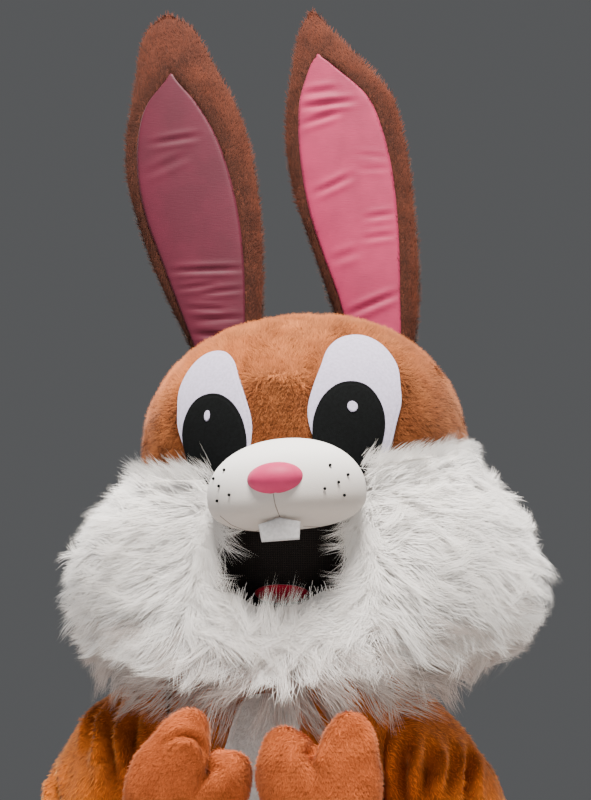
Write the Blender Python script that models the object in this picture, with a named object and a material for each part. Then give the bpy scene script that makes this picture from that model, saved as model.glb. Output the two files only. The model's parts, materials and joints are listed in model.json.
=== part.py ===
"""Rabbit costume: a plush head with a long fur ruff, a hollow suit, mittens and foot covers.

Metres, +Z up, the face looks along -Y and the wearer's left is +X. The origin is on the wearer's
shoulder line, at the base of the neck. Every piece that a maker would cut and sew is one closed
wall of its own; neighbours stay a seam gap apart.
"""

import math
from types import SimpleNamespace

import bmesh
import bpy
from mathutils import Matrix, Vector

# ---- Driving dimensions -------------------------------------------------------------------------

SEAM_GAP = 0.0003          # air between two pieces that meet
WELD = 0.00001             # points closer than this are one point
EPS = 0.002                # step, in grid units, for a surface's slopes

FLOOR = -1.470             # the soles, below the wearer's shoulder line

# Cloth, with its pile
HEAD_PLUSH = 0.010
SUIT_PLUSH = 0.008
MITTEN_PLUSH = 0.007
FELT = 0.0025
THIN_FELT = 0.0015
RUFF_PILE = 0.085          # the long white fur's deepest wall

# Head: a superellipsoid that leans towards the wearer's right
HEAD_CENTRE = Vector((0.028, 0.0, 0.330))
HEAD_ROLL = math.radians(-4.0)
HEAD_RADII = Vector((0.2545, 0.245, 0.225))
HEAD_SQUARENESS = 2.2
DOME_PITCH = math.radians(9.0)        # the brown dome reaches lower at the face than at the back
GUSSET_ANGLE = math.radians(12.0)     # half the strip over the crown
FACE_RADIUS = 0.250                   # turns sizes on the face into angles

# Ruff: the white fur round the cheeks, chin and nape
RUFF_CENTRE = Vector((0.018, 0.0, 0.330))
NECK_RADIUS = 0.185
NECK_LIP = SimpleNamespace(front=-0.300, left=-0.300, back=-0.300, right=-0.3185)
MOUTH = SimpleNamespace(right=math.radians(-20.6), left=math.radians(26.0), drop=0.222)

MUZZLE_CENTRE = Vector((0.009, -0.262, -0.070))
MUZZLE_HALF_WIDTH = 0.113
MUZZLE_DEPTH = 0.075
MUZZLE_UP = 0.080
MUZZLE_DOWN = 0.051
MUZZLE_SEAT = 0.004        # the muzzle's back lies this far inside the head's form

MUZZLE_STEPS = (24, 8)

NOSE_CENTRE = Vector((0.006, -0.322, -0.051))
NOSE_RADII = Vector((0.040, 0.030, 0.023))

TOOTH = SimpleNamespace(centre=0.006, top=-0.106, width_top=0.058, width_bottom=0.052,
                        height=0.029, thick=0.005, peak=0.004)

EAR_BACK_LEAN = 0.07       # the ears' tips lie back by this share of their height
EAR_ROOT = 0.030           # and their roots are this far behind the head's middle
EAR_BASE = 0.440
LINING = 0.004
LINING_SUNK = 0.008        # the ear's pink satin lies in a bed this deep

LEG_HEM = -1.360
CROTCH = -0.745
SOLE = 0.008


class Sections:
    """Named sizes at stations along a piece, with a smooth curve through them."""

    def __init__(self, columns, rows, closed=False):
        self.columns = columns.split()
        self.rows = rows
        self.closed = closed

    def at(self, where):
        """Sizes at `where`, from 0 at the first row to 1 at the last."""
        count = len(self.rows)
        spans = count if self.closed else count - 1
        place = where * spans
        first = math.floor(place) if self.closed else min(max(math.floor(place), 0), spans - 1)
        part = place - first
        near = []
        for step in (-1, 0, 1, 2):
            index = first + step
            near.append(self.rows[index % count if self.closed else min(max(index, 0), count - 1)])
        values = []
        for a, b, c, d in zip(*near):
            curve = (2 * a - 5 * b + 4 * c - d) * part ** 2 + (3 * b - a - 3 * c + d) * part ** 3
            values.append(b + 0.5 * ((c - a) * part + curve))
        return SimpleNamespace(**dict(zip(self.columns, values)))


def mix(a, b, share):
    return a + (b - a) * share


def smooth(share):
    share = min(max(share, 0.0), 1.0)
    return share * share * (3 - 2 * share)


# ---- Walls --------------------------------------------------------------------------------------

def span(form, across, along):
    """The stretch of a form between two places in each direction, as a form of its own."""
    return lambda u, v: form(mix(*across, u), mix(*along, v))


def outward(form, u, v):
    """The form's normal, taken from its own slopes; at a pole the slopes are read beside it."""
    for shift in (0.0, EPS, -EPS):
        place = v + shift
        side = form(u + EPS, place) - form(u - EPS, place)
        rise = form(u, place + EPS) - form(u, place - EPS)
        normal = rise.cross(side)
        if normal.length > 1e-9:
            return normal.normalized()
    raise RuntimeError("a surface has no normal")


def lifted(form, height):
    """A form moved out along its own normals."""
    return lambda u, v: form(u, v) + outward(form, u, v) * height


def grid(form, steps):
    """An open sheet of triangles on the form, with each point's place kept on it."""
    sheet = bmesh.new()
    bmesh.ops.create_grid(sheet, x_segments=steps[0], y_segments=steps[1], size=0.5)
    place = sheet.verts.layers.float_vector.new("place")
    for vert in sheet.verts:
        u, v = vert.co.x + 0.5, vert.co.y + 0.5
        vert[place] = (u, v, 0.0)
        vert.co = form(u, v)
    bmesh.ops.triangulate(sheet, faces=sheet.faces, quad_method="FIXED")
    bmesh.ops.remove_doubles(sheet, verts=sheet.verts, dist=WELD)
    return sheet


def wall(name, outer, inner, steps, material):
    """A closed wall between two forms of the same grid."""
    sheet = grid(outer, steps)
    place = sheet.verts.layers.float_vector["place"]
    grown = bmesh.ops.extrude_face_region(sheet, geom=sheet.faces[:])["geom"]
    for vert in grown:
        if isinstance(vert, bmesh.types.BMVert):
            vert.co = inner(vert[place].x, vert[place].y)
    return finish(name, sheet, material)


def finish(name, mesh, material):
    bmesh.ops.remove_doubles(mesh, verts=mesh.verts, dist=WELD)
    loose = [edge for edge in mesh.edges if not edge.link_faces]
    bmesh.ops.delete(mesh, geom=loose, context="EDGES")
    bmesh.ops.recalc_face_normals(mesh, faces=mesh.faces)
    data = bpy.data.meshes.new(name)
    mesh.to_mesh(data)
    mesh.free()
    data.shade_smooth()
    data.set_sharp_from_angle(angle=math.radians(40))
    data.materials.append(material)
    piece = bpy.data.objects.new(name, data)
    PIECES.objects.link(piece)
    return piece


def as_cutter(piece):
    """Move a piece to the cutters, out of sight."""
    PIECES.objects.unlink(piece)
    CUTTERS.objects.link(piece)
    piece.hide_render = True
    piece.display_type = "WIRE"
    return piece


def cut(piece, *cutters):
    for cutter in cutters:
        trim = piece.modifiers.new("cut " + cutter.name, "BOOLEAN")
        trim.operation = "DIFFERENCE"
        trim.solver = "EXACT"
        trim.object = cutter
    return piece


# ---- Head ---------------------------------------------------------------------------------------

HEAD = Matrix.Translation(HEAD_CENTRE) @ Matrix.Rotation(HEAD_ROLL, 4, "Y")


def head_reach(direction, swell=0.0):
    """The point of the head's form in a direction from its centre, in the head's own frame."""
    power = HEAD_SQUARENESS
    total = 0.0
    for part, radius in zip(direction, HEAD_RADII):
        total += (abs(part) / (radius + swell)) ** power
    return direction * total ** (-1 / power)


def dome(u, v, swell=0.0):
    """The dome: u runs over the crown from brow to nape, v from the right ear to the left."""
    over = math.pi * u - DOME_PITCH
    side = math.pi * (v - 0.5)
    direction = Vector((math.sin(side), -math.cos(side) * math.cos(over),
                        math.cos(side) * math.sin(over)))
    return HEAD @ head_reach(direction, swell)


def face(across, up, lift=0.0):
    """A point on the face, from sizes measured along it from the head's centre line and middle."""
    turn, rise = across / FACE_RADIUS, up / FACE_RADIUS
    direction = Vector((math.sin(turn) * math.cos(rise), -math.cos(turn) * math.cos(rise),
                        math.sin(rise)))
    point = head_reach(direction)
    slope = Vector([math.copysign(abs(part / radius) ** (HEAD_SQUARENESS - 1), part) / radius
                    for part, radius in zip(point, HEAD_RADII)])
    return HEAD @ (point + slope.normalized() * lift)


DOME_STEPS = 14
SIDE_STEPS = 6
GUSSET_STEPS = 3
HALF_STRIP = GUSSET_ANGLE / math.pi


def head_bed():
    """The whole head's form with the dome's facets, grown by a seam gap."""
    rows = 2 * SIDE_STEPS + GUSSET_STEPS

    def ball(u, v):
        row = v * rows
        if row <= SIDE_STEPS:
            place = mix(0.0, 0.5 - HALF_STRIP, row / SIDE_STEPS)
        elif row <= SIDE_STEPS + GUSSET_STEPS:
            place = mix(0.5 - HALF_STRIP, 0.5 + HALF_STRIP, (row - SIDE_STEPS) / GUSSET_STEPS)
        else:
            place = mix(0.5 + HALF_STRIP, 1.0, (row - SIDE_STEPS - GUSSET_STEPS) / SIDE_STEPS)
        return dome(2 * u, place, SEAM_GAP)
    return as_cutter(finish("head_bed", grid(ball, (2 * DOME_STEPS, rows)), PLUSH_BROWN))


def build_dome():
    gap = SEAM_GAP / 2 / (math.pi * HEAD_RADII.x)
    stretches = (
        ("head_gusset", (0.5 - HALF_STRIP + gap, 0.5 + HALF_STRIP - gap), (DOME_STEPS, GUSSET_STEPS)),
        ("head_side_right", (0.0, 0.5 - HALF_STRIP - gap), (DOME_STEPS, SIDE_STEPS)),
        ("head_side_left", (0.5 + HALF_STRIP + gap, 1.0), (DOME_STEPS, SIDE_STEPS)),
    )
    for name, along, steps in stretches:
        outer = span(dome, (0.0, 1.0), along)
        inner = span(lambda u, v: dome(u, v, -HEAD_PLUSH), (0.0, 1.0), along)
        cut(wall(name, outer, inner, steps, PLUSH_BROWN), MUZZLE_BED)


# ---- Ears ---------------------------------------------------------------------------------------

# Heights are from the origin; edges and lining edges are across the wearer, from the right.
EAR_COLUMNS = "height right left lining_right lining_left thick"
EARS = {
    "right": Sections(EAR_COLUMNS, (
        (EAR_BASE, -0.150, -0.045, -0.125, -0.073, 0.044),
        (0.511, -0.171, -0.042, -0.155, -0.074, 0.046),
        (0.587, -0.209, -0.042, -0.186, -0.075, 0.046),
        (0.657, -0.241, -0.043, -0.214, -0.079, 0.044),
        (0.727, -0.266, -0.047, -0.242, -0.088, 0.042),
        (0.797, -0.286, -0.057, -0.259, -0.104, 0.040),
        (0.867, -0.291, -0.072, -0.262, -0.129, 0.038),
        (0.927, -0.285, -0.093, -0.249, -0.164, 0.036),
        (0.983, -0.278, -0.122, -0.209, -0.207, 0.033),
        (1.032, -0.272, -0.148, -0.207, -0.206, 0.028),
        (1.070, -0.259, -0.172, -0.212, -0.211, 0.021),
        (1.093, -0.232, -0.206, -0.220, -0.219, 0.010),
    )),
    "left": Sections(EAR_COLUMNS, (
        (EAR_BASE, 0.092, 0.190, 0.116, 0.170, 0.044),
        (0.511, 0.080, 0.204, 0.098, 0.176, 0.046),
        (0.587, 0.055, 0.210, 0.078, 0.175, 0.046),
        (0.657, 0.031, 0.209, 0.053, 0.174, 0.044),
        (0.727, 0.007, 0.203, 0.030, 0.170, 0.042),
        (0.797, -0.012, 0.197, 0.016, 0.162, 0.040),
        (0.867, -0.020, 0.184, 0.009, 0.146, 0.038),
        (0.927, -0.019, 0.169, 0.011, 0.120, 0.036),
        (0.983, -0.011, 0.128, 0.028, 0.062, 0.033),
        (1.004, -0.008, 0.108, 0.039, 0.041, 0.031),
        (1.047, 0.000, 0.070, 0.035, 0.036, 0.024),
        (1.083, 0.019, 0.040, 0.029, 0.030, 0.010),
    )),
}
EAR_SQUARENESS = 2.5


def ear_middle(height):
    """How far behind the origin the ear's middle lies."""
    return EAR_ROOT + EAR_BACK_LEAN * (height - EAR_BASE)


def ear_face(row, across):
    """Half the ear's thickness at a place across it, from -1 to 1."""
    return row.thick / 2 * max(1 - abs(across) ** EAR_SQUARENESS, 0.0) ** (1 / EAR_SQUARENESS)


def ear_body(side):
    """The ear's closed padded form: u round each section, v from root to tip."""
    def form(u, v):
        row = EARS[side].at(v)
        turn = 2 * math.pi * u
        middle, half = (row.left + row.right) / 2, (row.left - row.right) / 2
        power = 2 / EAR_SQUARENESS
        across = math.copysign(abs(math.cos(turn)) ** power, math.cos(turn))
        depth = math.copysign(abs(math.sin(turn)) ** power, math.sin(turn))
        return Vector((middle + half * across, ear_middle(row.height) + row.thick / 2 * depth,
                       row.height))
    return form


def ear_lining(side, depth, margin=0.0):
    """The satin in the ear's front: v from root to tip, lying `depth` behind the fur's face."""
    def form(u, v):
        last = LINING_TIP[side]
        row = EARS[side].at(mix(0.0, last, v))
        narrowed = smooth((1 - v) / 0.02)
        right = row.lining_right - margin
        left = mix(right + 2 * margin, row.lining_left + margin, 1 if v < 1 else narrowed)
        x = mix(right, left, u)
        middle, half = (row.left + row.right) / 2, (row.left - row.right) / 2
        face_depth = ear_face(row, (x - middle) / half)
        return Vector((x, ear_middle(row.height) - face_depth + depth,
                       row.height + margin * smooth(v)))
    return form


LINING_TIP = {"right": 8 / 11, "left": 9 / 11}


def build_ears():
    for side in ("right", "left"):
        body = grid(ear_body(side), (16, 13))
        for ring in (0.0, 1.0):
            close_ring(body, ring)
        body = finish("ear_" + side, body, PLUSH_BROWN)
        bed = as_cutter(wall("bed_" + side, ear_lining(side, LINING_SUNK + SEAM_GAP, SEAM_GAP),
                             ear_lining(side, -0.040, SEAM_GAP), (4, 11), SATIN_PINK))
        cut(body, bed, HEAD_BED)
        lining = wall("ear_lining_" + side, ear_lining(side, LINING_SUNK - LINING),
                      ear_lining(side, LINING_SUNK), (4, 11), SATIN_PINK)
        cut(lining, HEAD_BED)


def close_ring(mesh, place_v):
    """Cap the open ring of a tube at one end of its grid."""
    place = mesh.verts.layers.float_vector["place"]
    rim = [edge for edge in mesh.edges if edge.is_boundary
           and all(abs(vert[place].y - place_v) < 1e-6 for vert in edge.verts)]
    bmesh.ops.contextual_create(mesh, geom=rim)


# ---- Face ---------------------------------------------------------------------------------------

def muzzle_rim(turn, theta, swell):
    """A point of the muzzle's cushion: turn runs round the face from the wearer's left."""
    across = MUZZLE_HALF_WIDTH + swell
    up = (MUZZLE_UP if math.sin(turn) > 0 else MUZZLE_DOWN) + swell
    power = 2.1 if math.sin(turn) > 0 else 2.6
    reach = (abs(math.cos(turn) / across) ** power + abs(math.sin(turn) / up) ** power) ** (-1 / power)
    spread = math.sin(theta) ** 0.92 if theta < math.pi / 2 else math.sin(theta)
    return MUZZLE_CENTRE + Vector((reach * spread * math.cos(turn),
                                   -(MUZZLE_DEPTH + swell) * math.cos(theta),
                                   reach * spread * math.sin(turn)))


def muzzle_back(x, swell):
    """How far forward the muzzle's back lies: a little inside the head, upright."""
    a, b = HEAD_RADII.x, HEAD_RADII.y - MUZZLE_SEAT
    return -b * (1 - (abs(x) / a) ** HEAD_SQUARENESS) ** (1 / HEAD_SQUARENESS) + swell


def muzzle_edge(turn, swell):
    """The angle from the muzzle's front at which its side meets its back."""
    near, far = math.pi / 2, math.pi * 0.95
    for _ in range(40):
        middle = (near + far) / 2
        point = muzzle_rim(turn, middle, swell)
        if point.y < muzzle_back(point.x, swell):
            near = middle
        else:
            far = middle
    return near


def muzzle_solid(name, swell, steps, material):
    """The padded muzzle, grown by `swell`: u round the face, v from its front to its back's edge."""
    def front(u, v):
        turn = 2 * math.pi * u
        return HEAD @ muzzle_rim(turn, mix(0.0, muzzle_edge(turn, swell), v), swell)

    def back(u, v):
        turn = 2 * math.pi * u
        edge = muzzle_rim(turn, muzzle_edge(turn, swell), swell)
        x = mix(MUZZLE_CENTRE.x, edge.x, v)
        z = mix(MUZZLE_CENTRE.z, edge.z, v)
        return HEAD @ Vector((x, muzzle_back(x, swell), z))
    return wall(name, front, back, steps, material)


def nose_solid(name, material):
    def form(u, v):
        turn, back = 2 * math.pi * u, math.pi * v
        return HEAD @ (NOSE_CENTRE + Vector((NOSE_RADII.x * math.sin(back) * math.cos(turn),
                                             -NOSE_RADII.y * math.cos(back),
                                             NOSE_RADII.z * math.sin(back) * math.sin(turn))))
    return finish(name, grid(form, (18, 8)), material)


# Outlines of the appliqué eyes: the radius at even turns from the top, towards the outer corner.
WHITE_OUTLINE = Sections("radius", (
    (0.093,), (0.099,), (0.078,), (0.060,), (0.061,), (0.075,),
    (0.122,), (0.121,), (0.100,), (0.076,), (0.069,), (0.080,)), closed=True)
PUPIL_OUTLINE = Sections("radius", (
    (0.062,), (0.064,), (0.057,), (0.052,), (0.053,), (0.064,),
    (0.076,), (0.072,), (0.060,), (0.053,), (0.052,), (0.056,)), closed=True)
GLINT_OUTLINE = Sections("radius", ((0.0075,), (0.0070,), (0.0075,), (0.0070,)), closed=True)

# Where each eye lies on the face, how wide it is drawn, and where its pupil and glint lie in it
EYE_COLUMNS = "side across up width pupil_across pupil_up glint_across glint_up glint_width"
EYES = (
    (-1, -0.116, 0.074, 0.90, -0.100, 0.025, -0.107, 0.053, 0.60),
    (1, 0.133, 0.083, 1.02, 0.103, 0.025, 0.109, 0.048, 1.00),
)


EYE_SUNK = 0.003           # an appliqué starts this deep and is trimmed by what it lies on


def eye_form(outline, centre, side, width, lift, margin=0.0):
    """A flat outline on the face, drawn in rings from its middle."""
    def form(u, v):
        turn = 2 * math.pi * u
        radius = (outline.at(u).radius + margin) * v
        return face(centre[0] + side * width * radius * math.sin(turn),
                    centre[1] + radius * math.cos(turn), lift)
    return form


def eye_piece(name, shape, top, steps, material, beds):
    """A felt appliqué and the bed that it makes for the piece on it."""
    piece = wall(name, eye_form(*shape, top), eye_form(*shape, top - FELT - EYE_SUNK), steps, material)
    cut(piece, *beds)
    bed = wall(name + "_bed", eye_form(*shape, top + SEAM_GAP, SEAM_GAP),
               eye_form(*shape, -EYE_SUNK, SEAM_GAP), steps, material)
    EYE_BEDS.append(as_cutter(bed))
    return bed


def build_eyes():
    for row in EYES:
        eye = SimpleNamespace(**dict(zip(EYE_COLUMNS.split(), row)))
        side = "right" if eye.side < 0 else "left"
        white = (WHITE_OUTLINE, (eye.across, eye.up), eye.side, eye.width)
        pupil = (PUPIL_OUTLINE, (eye.pupil_across, eye.pupil_up), eye.side, 1.0)
        glint = (GLINT_OUTLINE, (eye.glint_across, eye.glint_up), eye.side, eye.glint_width)
        top = FELT
        beds = [MUZZLE_BED, HEAD_BED]
        beds.append(eye_piece("eye_white_" + side, white, top, (22, 4), FELT_WHITE, beds))
        top += THIN_FELT
        beds.append(eye_piece("eye_pupil_" + side, pupil, top, (18, 2), FELT_BLACK, beds))
        top += THIN_FELT
        eye_piece("eye_glint_" + side, glint, top, (12, 1), FELT_WHITE, beds)


def muzzle_front(x, z):
    """How far forward the muzzle's surface is at a place on its lower front."""
    dx, dz = x - MUZZLE_CENTRE.x, z - MUZZLE_CENTRE.z
    turn = math.atan2(dz, dx)
    low, high = 0.0, math.pi / 2
    for _ in range(40):
        middle = (low + high) / 2
        point = muzzle_rim(turn, middle, 0.0) - MUZZLE_CENTRE
        if math.hypot(point.x, point.z) < math.hypot(dx, dz):
            low = middle
        else:
            high = middle
    return muzzle_rim(turn, low, 0.0).y


def build_tooth():
    """One felt tooth that hangs from the muzzle's lower seam."""
    tooth = TOOTH
    seat = min(muzzle_front(tooth.centre + side * tooth.width_top / 2, tooth.top) for side in (-1, 0, 1))

    def form(depth):
        def place(u, v):
            half = mix(tooth.width_top, tooth.width_bottom, v) / 2
            x = tooth.centre + mix(-half, half, u)
            z = tooth.top - tooth.height * v + tooth.peak * (1 - v) * (1 - abs(2 * u - 1))
            return HEAD @ Vector((x, seat - SEAM_GAP - depth, z))
        return place
    cut(wall("tooth", form(tooth.thick), form(0.0), (6, 2), FELT_TOOTH), MUZZLE_BED)


# ---- Ruff ---------------------------------------------------------------------------------------

# Radii of the fur's outer face at the front, the wearer's left, the back and the right.
RUFF = Sections("drop front left back right", (
    (0.00, 0.240, 0.256, 0.246, 0.256),
    (0.09, 0.252, 0.300, 0.286, 0.292),
    (0.22, 0.256, 0.345, 0.318, 0.327),
    (0.38, 0.262, 0.372, 0.338, 0.353),
    (0.54, 0.272, 0.385, 0.350, 0.365),
    (0.68, 0.285, 0.384, 0.350, 0.358),
    (0.80, 0.296, 0.366, 0.340, 0.347),
    (0.91, 0.299, 0.338, 0.320, 0.340),
    (1.00, 0.287, 0.300, 0.290, 0.315),
))
INSIDE = Sections("radius", ((0.2350,), (0.2345,), (0.2320,), (0.2260,), (0.2160,), (0.2020,),
                             (NECK_RADIUS,)))
RUFF_LIP = SimpleNamespace(front=-0.405, left=-0.343, back=-0.385, right=-0.325)
TUFT = 0.008               # how far the fur's locks stand out and in
CHEEK_END = math.radians(125.0)       # where the cheeks' seams to the back piece run


def around(theta, sizes):
    """Blend four sizes, at the front, left, back and right, round the ruff."""
    forward, sideways = math.cos(theta), math.sin(theta)
    ahead = sizes.front if forward > 0 else sizes.back
    beside = sizes.left if sideways > 0 else sizes.right
    return ahead * forward ** 2 + beside * sideways ** 2


def ruff_seam(theta, swell=0.0):
    """The dome's lower edge, in the direction theta round the head."""
    slope = math.tan(DOME_PITCH)
    direction = Vector((math.sin(theta), -math.cos(theta), -slope * math.cos(theta)))
    direction.normalize()
    direction.z -= SEAM_GAP / FACE_RADIUS
    return HEAD @ head_reach(direction, swell)


def ruff_outer(theta, v):
    row = RUFF.at(v)
    radius = around(theta, row)
    radius += TUFT * math.sin(7 * theta + 2 * math.pi * v) * math.sin(math.pi * v)
    z = row.drop * around(theta, RUFF_LIP)
    free = RUFF_CENTRE + Vector((radius * math.sin(theta), -radius * math.cos(theta), z))
    seam = ruff_seam(theta)
    lead = smooth(v / 0.30)
    level = Vector((0, 0, (seam.z - RUFF_CENTRE.z) * (1 - smooth(v / 0.45))))
    return seam.lerp(free + level, lead)


def ruff_inner(theta, v):
    radius = max(INSIDE.at(v).radius, around(theta, RUFF.at(v)) - RUFF_PILE)
    radius = mix(radius, NECK_RADIUS, smooth((v - 0.6) / 0.4))
    free = RUFF_CENTRE + Vector((radius * math.sin(theta), -radius * math.cos(theta),
                                 around(theta, NECK_LIP) * v))
    seam = ruff_seam(theta, -HEAD_PLUSH)
    level = Vector((0, 0, (seam.z - RUFF_CENTRE.z) * (1 - smooth(v / 0.45))))
    return seam.lerp(free + level, smooth(v / 0.12))


def build_ruff():
    gap = SEAM_GAP / 2 / NECK_RADIUS
    pieces = (
        ("ruff_cheek_left", MOUTH.left + gap, CHEEK_END - gap, 0.0, (11, 9)),
        ("ruff_back", CHEEK_END + gap, 2 * math.pi - CHEEK_END - gap, 0.0, (12, 9)),
        ("ruff_cheek_right", gap - CHEEK_END, MOUTH.right - gap, 0.0, (11, 9)),
        ("ruff_chin", MOUTH.right + gap, MOUTH.left - gap, MOUTH.drop, (5, 5)),
    )
    for name, start, end, top, steps in pieces:
        outer = span(ruff_outer, (start, end), (top / -RUFF_LIP.front, 1.0))
        inner = span(ruff_inner, (start, end), (top / -NECK_LIP.front, 1.0))
        cut(wall(name, outer, inner, steps, FUR_WHITE), MUZZLE_BED, *EYE_BEDS)


# The mouth lies on the ruff's inner face: places are turns from the front and shares of the drop.
MESH_THICK = 0.002
MESH_REACH = (0.14, 0.83)
MESH_OVERLAP = math.radians(5.0)      # the panel reaches this far behind the cheeks
MESH_BED = 0.020
TONGUE_SUNK = 0.003
RUFF_FACET = 0.0025        # how far the ruff's inner facets stand inside its true curve
TONGUE = SimpleNamespace(turn=0.037, half_turn=0.186, drop=0.690, half_drop=0.047, thick=0.006)


def behind_ruff(theta, drop, inset):
    """A point on the ruff's inner face, moved in towards the neck."""
    point = ruff_inner(theta, drop)
    spoke = Vector((point.x - RUFF_CENTRE.x, point.y - RUFF_CENTRE.y, 0.0))
    return point - spoke.normalized() * inset


def build_mouth():
    """The see-through panel behind the mouth, and the tongue on it."""
    def mesh_form(inset):
        turns = (MOUTH.right - MESH_OVERLAP, MOUTH.left + MESH_OVERLAP)
        return lambda u, v: behind_ruff(mix(*turns, u), mix(*MESH_REACH, v), inset)
    near = SEAM_GAP + RUFF_FACET
    wall("mouth_mesh", mesh_form(near), mesh_form(near + MESH_THICK), (8, 5), MESH_BLACK)
    bed = as_cutter(wall("mesh_bed", mesh_form(near - SEAM_GAP), mesh_form(MESH_BED), (8, 5), MESH_BLACK))

    def tongue_form(lift, crown):
        def place(u, v):
            turn = 2 * math.pi * u
            theta = TONGUE.turn + TONGUE.half_turn * v * math.cos(turn)
            drop = TONGUE.drop + TONGUE.half_drop * v * math.sin(turn)
            return behind_ruff(theta, drop, -lift * (1 - crown * v * v))
        return place
    tongue = wall("tongue", tongue_form(TONGUE.thick, 0.5), tongue_form(-TONGUE_SUNK, 0.0), (14, 2), FELT_RED)
    cut(tongue, bed)


# ---- Suit ---------------------------------------------------------------------------------------

TORSO = Sections("height half_width half_depth middle", (
    (0.060, 0.112, 0.100, 0.012),
    (0.034, 0.140, 0.112, 0.008),
    (0.006, 0.170, 0.126, 0.004),
    (-0.030, 0.192, 0.142, 0.000),
    (-0.080, 0.200, 0.158, 0.000),
    (-0.150, 0.194, 0.170, 0.000),
    (-0.225, 0.184, 0.176, 0.000),
    (-0.310, 0.190, 0.182, 0.000),
    (-0.410, 0.214, 0.194, 0.000),
    (-0.510, 0.236, 0.204, 0.002),
    (-0.610, 0.247, 0.208, 0.004),
    (-0.690, 0.250, 0.206, 0.006),
    (CROTCH, 0.248, 0.202, 0.008),
))
TORSO_SQUARENESS = 2.3
FOLD_DEPTH = 0.006


def torso(u, v, swell=0.0):
    """The suit's body: u round it from the front, once; v from the neck down."""
    row = TORSO.at(v)
    turn = 2 * math.pi * u
    side, ahead = math.sin(turn), math.cos(turn)
    a, b = row.half_width + swell, row.half_depth + swell
    reach = (abs(side / a) ** TORSO_SQUARENESS + abs(ahead / b) ** TORSO_SQUARENESS)
    reach = reach ** (-1 / TORSO_SQUARENESS)
    reach += FOLD_DEPTH * math.cos(8 * turn) * smooth((v - 0.25) / 0.3)
    return Vector((reach * side, row.middle - reach * ahead, row.height))


def build_torso():
    inside = lifted(torso, -SUIT_PLUSH)
    gap = SEAM_GAP / 2 / (2 * math.pi * TORSO.rows[0][2])
    pieces = (
        ("torso_front", -0.25 + gap, 0.25 - gap, 2),
        ("torso_back_left", 0.25 + gap, 0.50 - gap, 4),
        ("torso_back_right", 0.50 + gap, 0.75 - gap, 4),
    )
    for name, start, end, share in pieces:
        steps = (TORSO_STEPS[0] // share, TORSO_STEPS[1])
        outer = span(torso, (start, end), (0.0, 1.0))
        inner = span(inside, (start, end), (0.0, 1.0))
        piece = wall(name, outer, inner, steps, PLUSH_GOLD)
        cut(piece, *ARMHOLES)


BELLY_OUTLINE = Sections("across height", (
    (0.000, -0.020), (0.048, -0.032), (0.070, -0.100), (0.098, -0.220), (0.126, -0.380),
    (0.126, -0.520), (0.074, -0.610), (0.000, -0.635)))
BELLY_SHIFT = -0.010
BELLY_PLUSH = 0.005
FLAP_THICK = 0.004
FLAP_TURN = 0.0125         # half the flap's width, as a share of the way round
FLAP_REACH = (0.03, 0.70)
SUNK = 0.004               # what lies on the suit starts this deep and is trimmed by it
TAIL_RADIUS = 0.065
TAIL_STAND = 0.030
TORSO_STEPS = (32, 11)


def torso_place(across, height):
    """The grid place on the suit's front at a distance from its centre line and a height."""
    low, high = 0.0, 1.0
    for _ in range(30):
        middle = (low + high) / 2
        if TORSO.at(middle).height > height:
            low = middle
        else:
            high = middle
    row = TORSO.at(low)
    return math.asin(max(-0.98, min(0.98, across / row.half_width))) / (2 * math.pi), low


def build_belly():
    """The white front: an appliqué on the suit."""
    def form(lift):
        raised = lifted(torso, lift)

        def place(u, v):
            row = BELLY_OUTLINE.at(v)
            across = row.across if 0 < v < 1 else 0.0
            return raised(*torso_place(BELLY_SHIFT + mix(-1, 1, u) * across, row.height))
        return place
    cut(wall("belly_patch", form(BELLY_PLUSH), form(-SUNK), (8, 9), PLUSH_WHITE), BODY_BED)


def build_zip_flap():
    """The flap over the zip down the back, sewn to the left side."""
    def form(lift):
        raised = lifted(torso, lift)
        return lambda u, v: raised(0.5 + mix(-1, 1, u) * FLAP_TURN, mix(*FLAP_REACH, v))
    cut(wall("zip_flap", form(FLAP_THICK), form(-SUNK), (3, 10), PLUSH_GOLD), BODY_BED)


def build_tail():
    """The round plush tail, seated on the suit's back."""
    row = TORSO.at(0.80)

    def form(u, v):
        turn, out = 2 * math.pi * u, math.pi * v
        radius = TAIL_RADIUS + 0.003 * math.cos(6 * turn) * math.sin(out) ** 2
        return Vector((radius * math.sin(out) * math.sin(turn),
                       row.middle + row.half_depth + TAIL_STAND + radius * math.cos(out),
                       row.height + radius * math.sin(out) * math.cos(turn)))
    cut(finish("tail", grid(form, (16, 9)), PLUSH_WHITE), BODY_BED)


def body_bed():
    """The suit's filled form with its panels' facets, grown by a seam gap."""
    return as_cutter(finish("body_bed", closed_tube(lifted(torso, SEAM_GAP), TORSO_STEPS), PLUSH_GOLD))


def closed_tube(form, steps):
    tube = grid(form, steps)
    for ring in (0.0, 1.0):
        close_ring(tube, ring)
    return tube


# ---- Mittens ------------------------------------------------------------------------------------

# The mitten's outline as seen from its back: turns in degrees from straight up, thumb positive.
CUFF_LENGTH = 0.150
CUFF_RADIUS = 0.053
CUFF_TURN = math.degrees(math.atan2(CUFF_RADIUS, CUFF_LENGTH))
CUFF_REACH = math.hypot(CUFF_RADIUS, CUFF_LENGTH)
MITTEN = Sections("turn radius", (
    (-180 + CUFF_TURN, CUFF_REACH), (-150, 0.112), (-130, 0.086), (-100, 0.077), (-75, 0.088),
    (-56, 0.096), (-40, 0.103), (-27, 0.100), (-14, 0.084), (-3, 0.066), (6, 0.086), (15, 0.112),
    (27, 0.120), (42, 0.113), (62, 0.095), (98, 0.084), (128, 0.084), (150, 0.111),
    (180 - CUFF_TURN, CUFF_REACH)))
CUFF_SHARE = 0.2           # the cuff's share of the way round
HAND_DEPTH = 0.042
HAND_STEPS = (25, 4)


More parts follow.
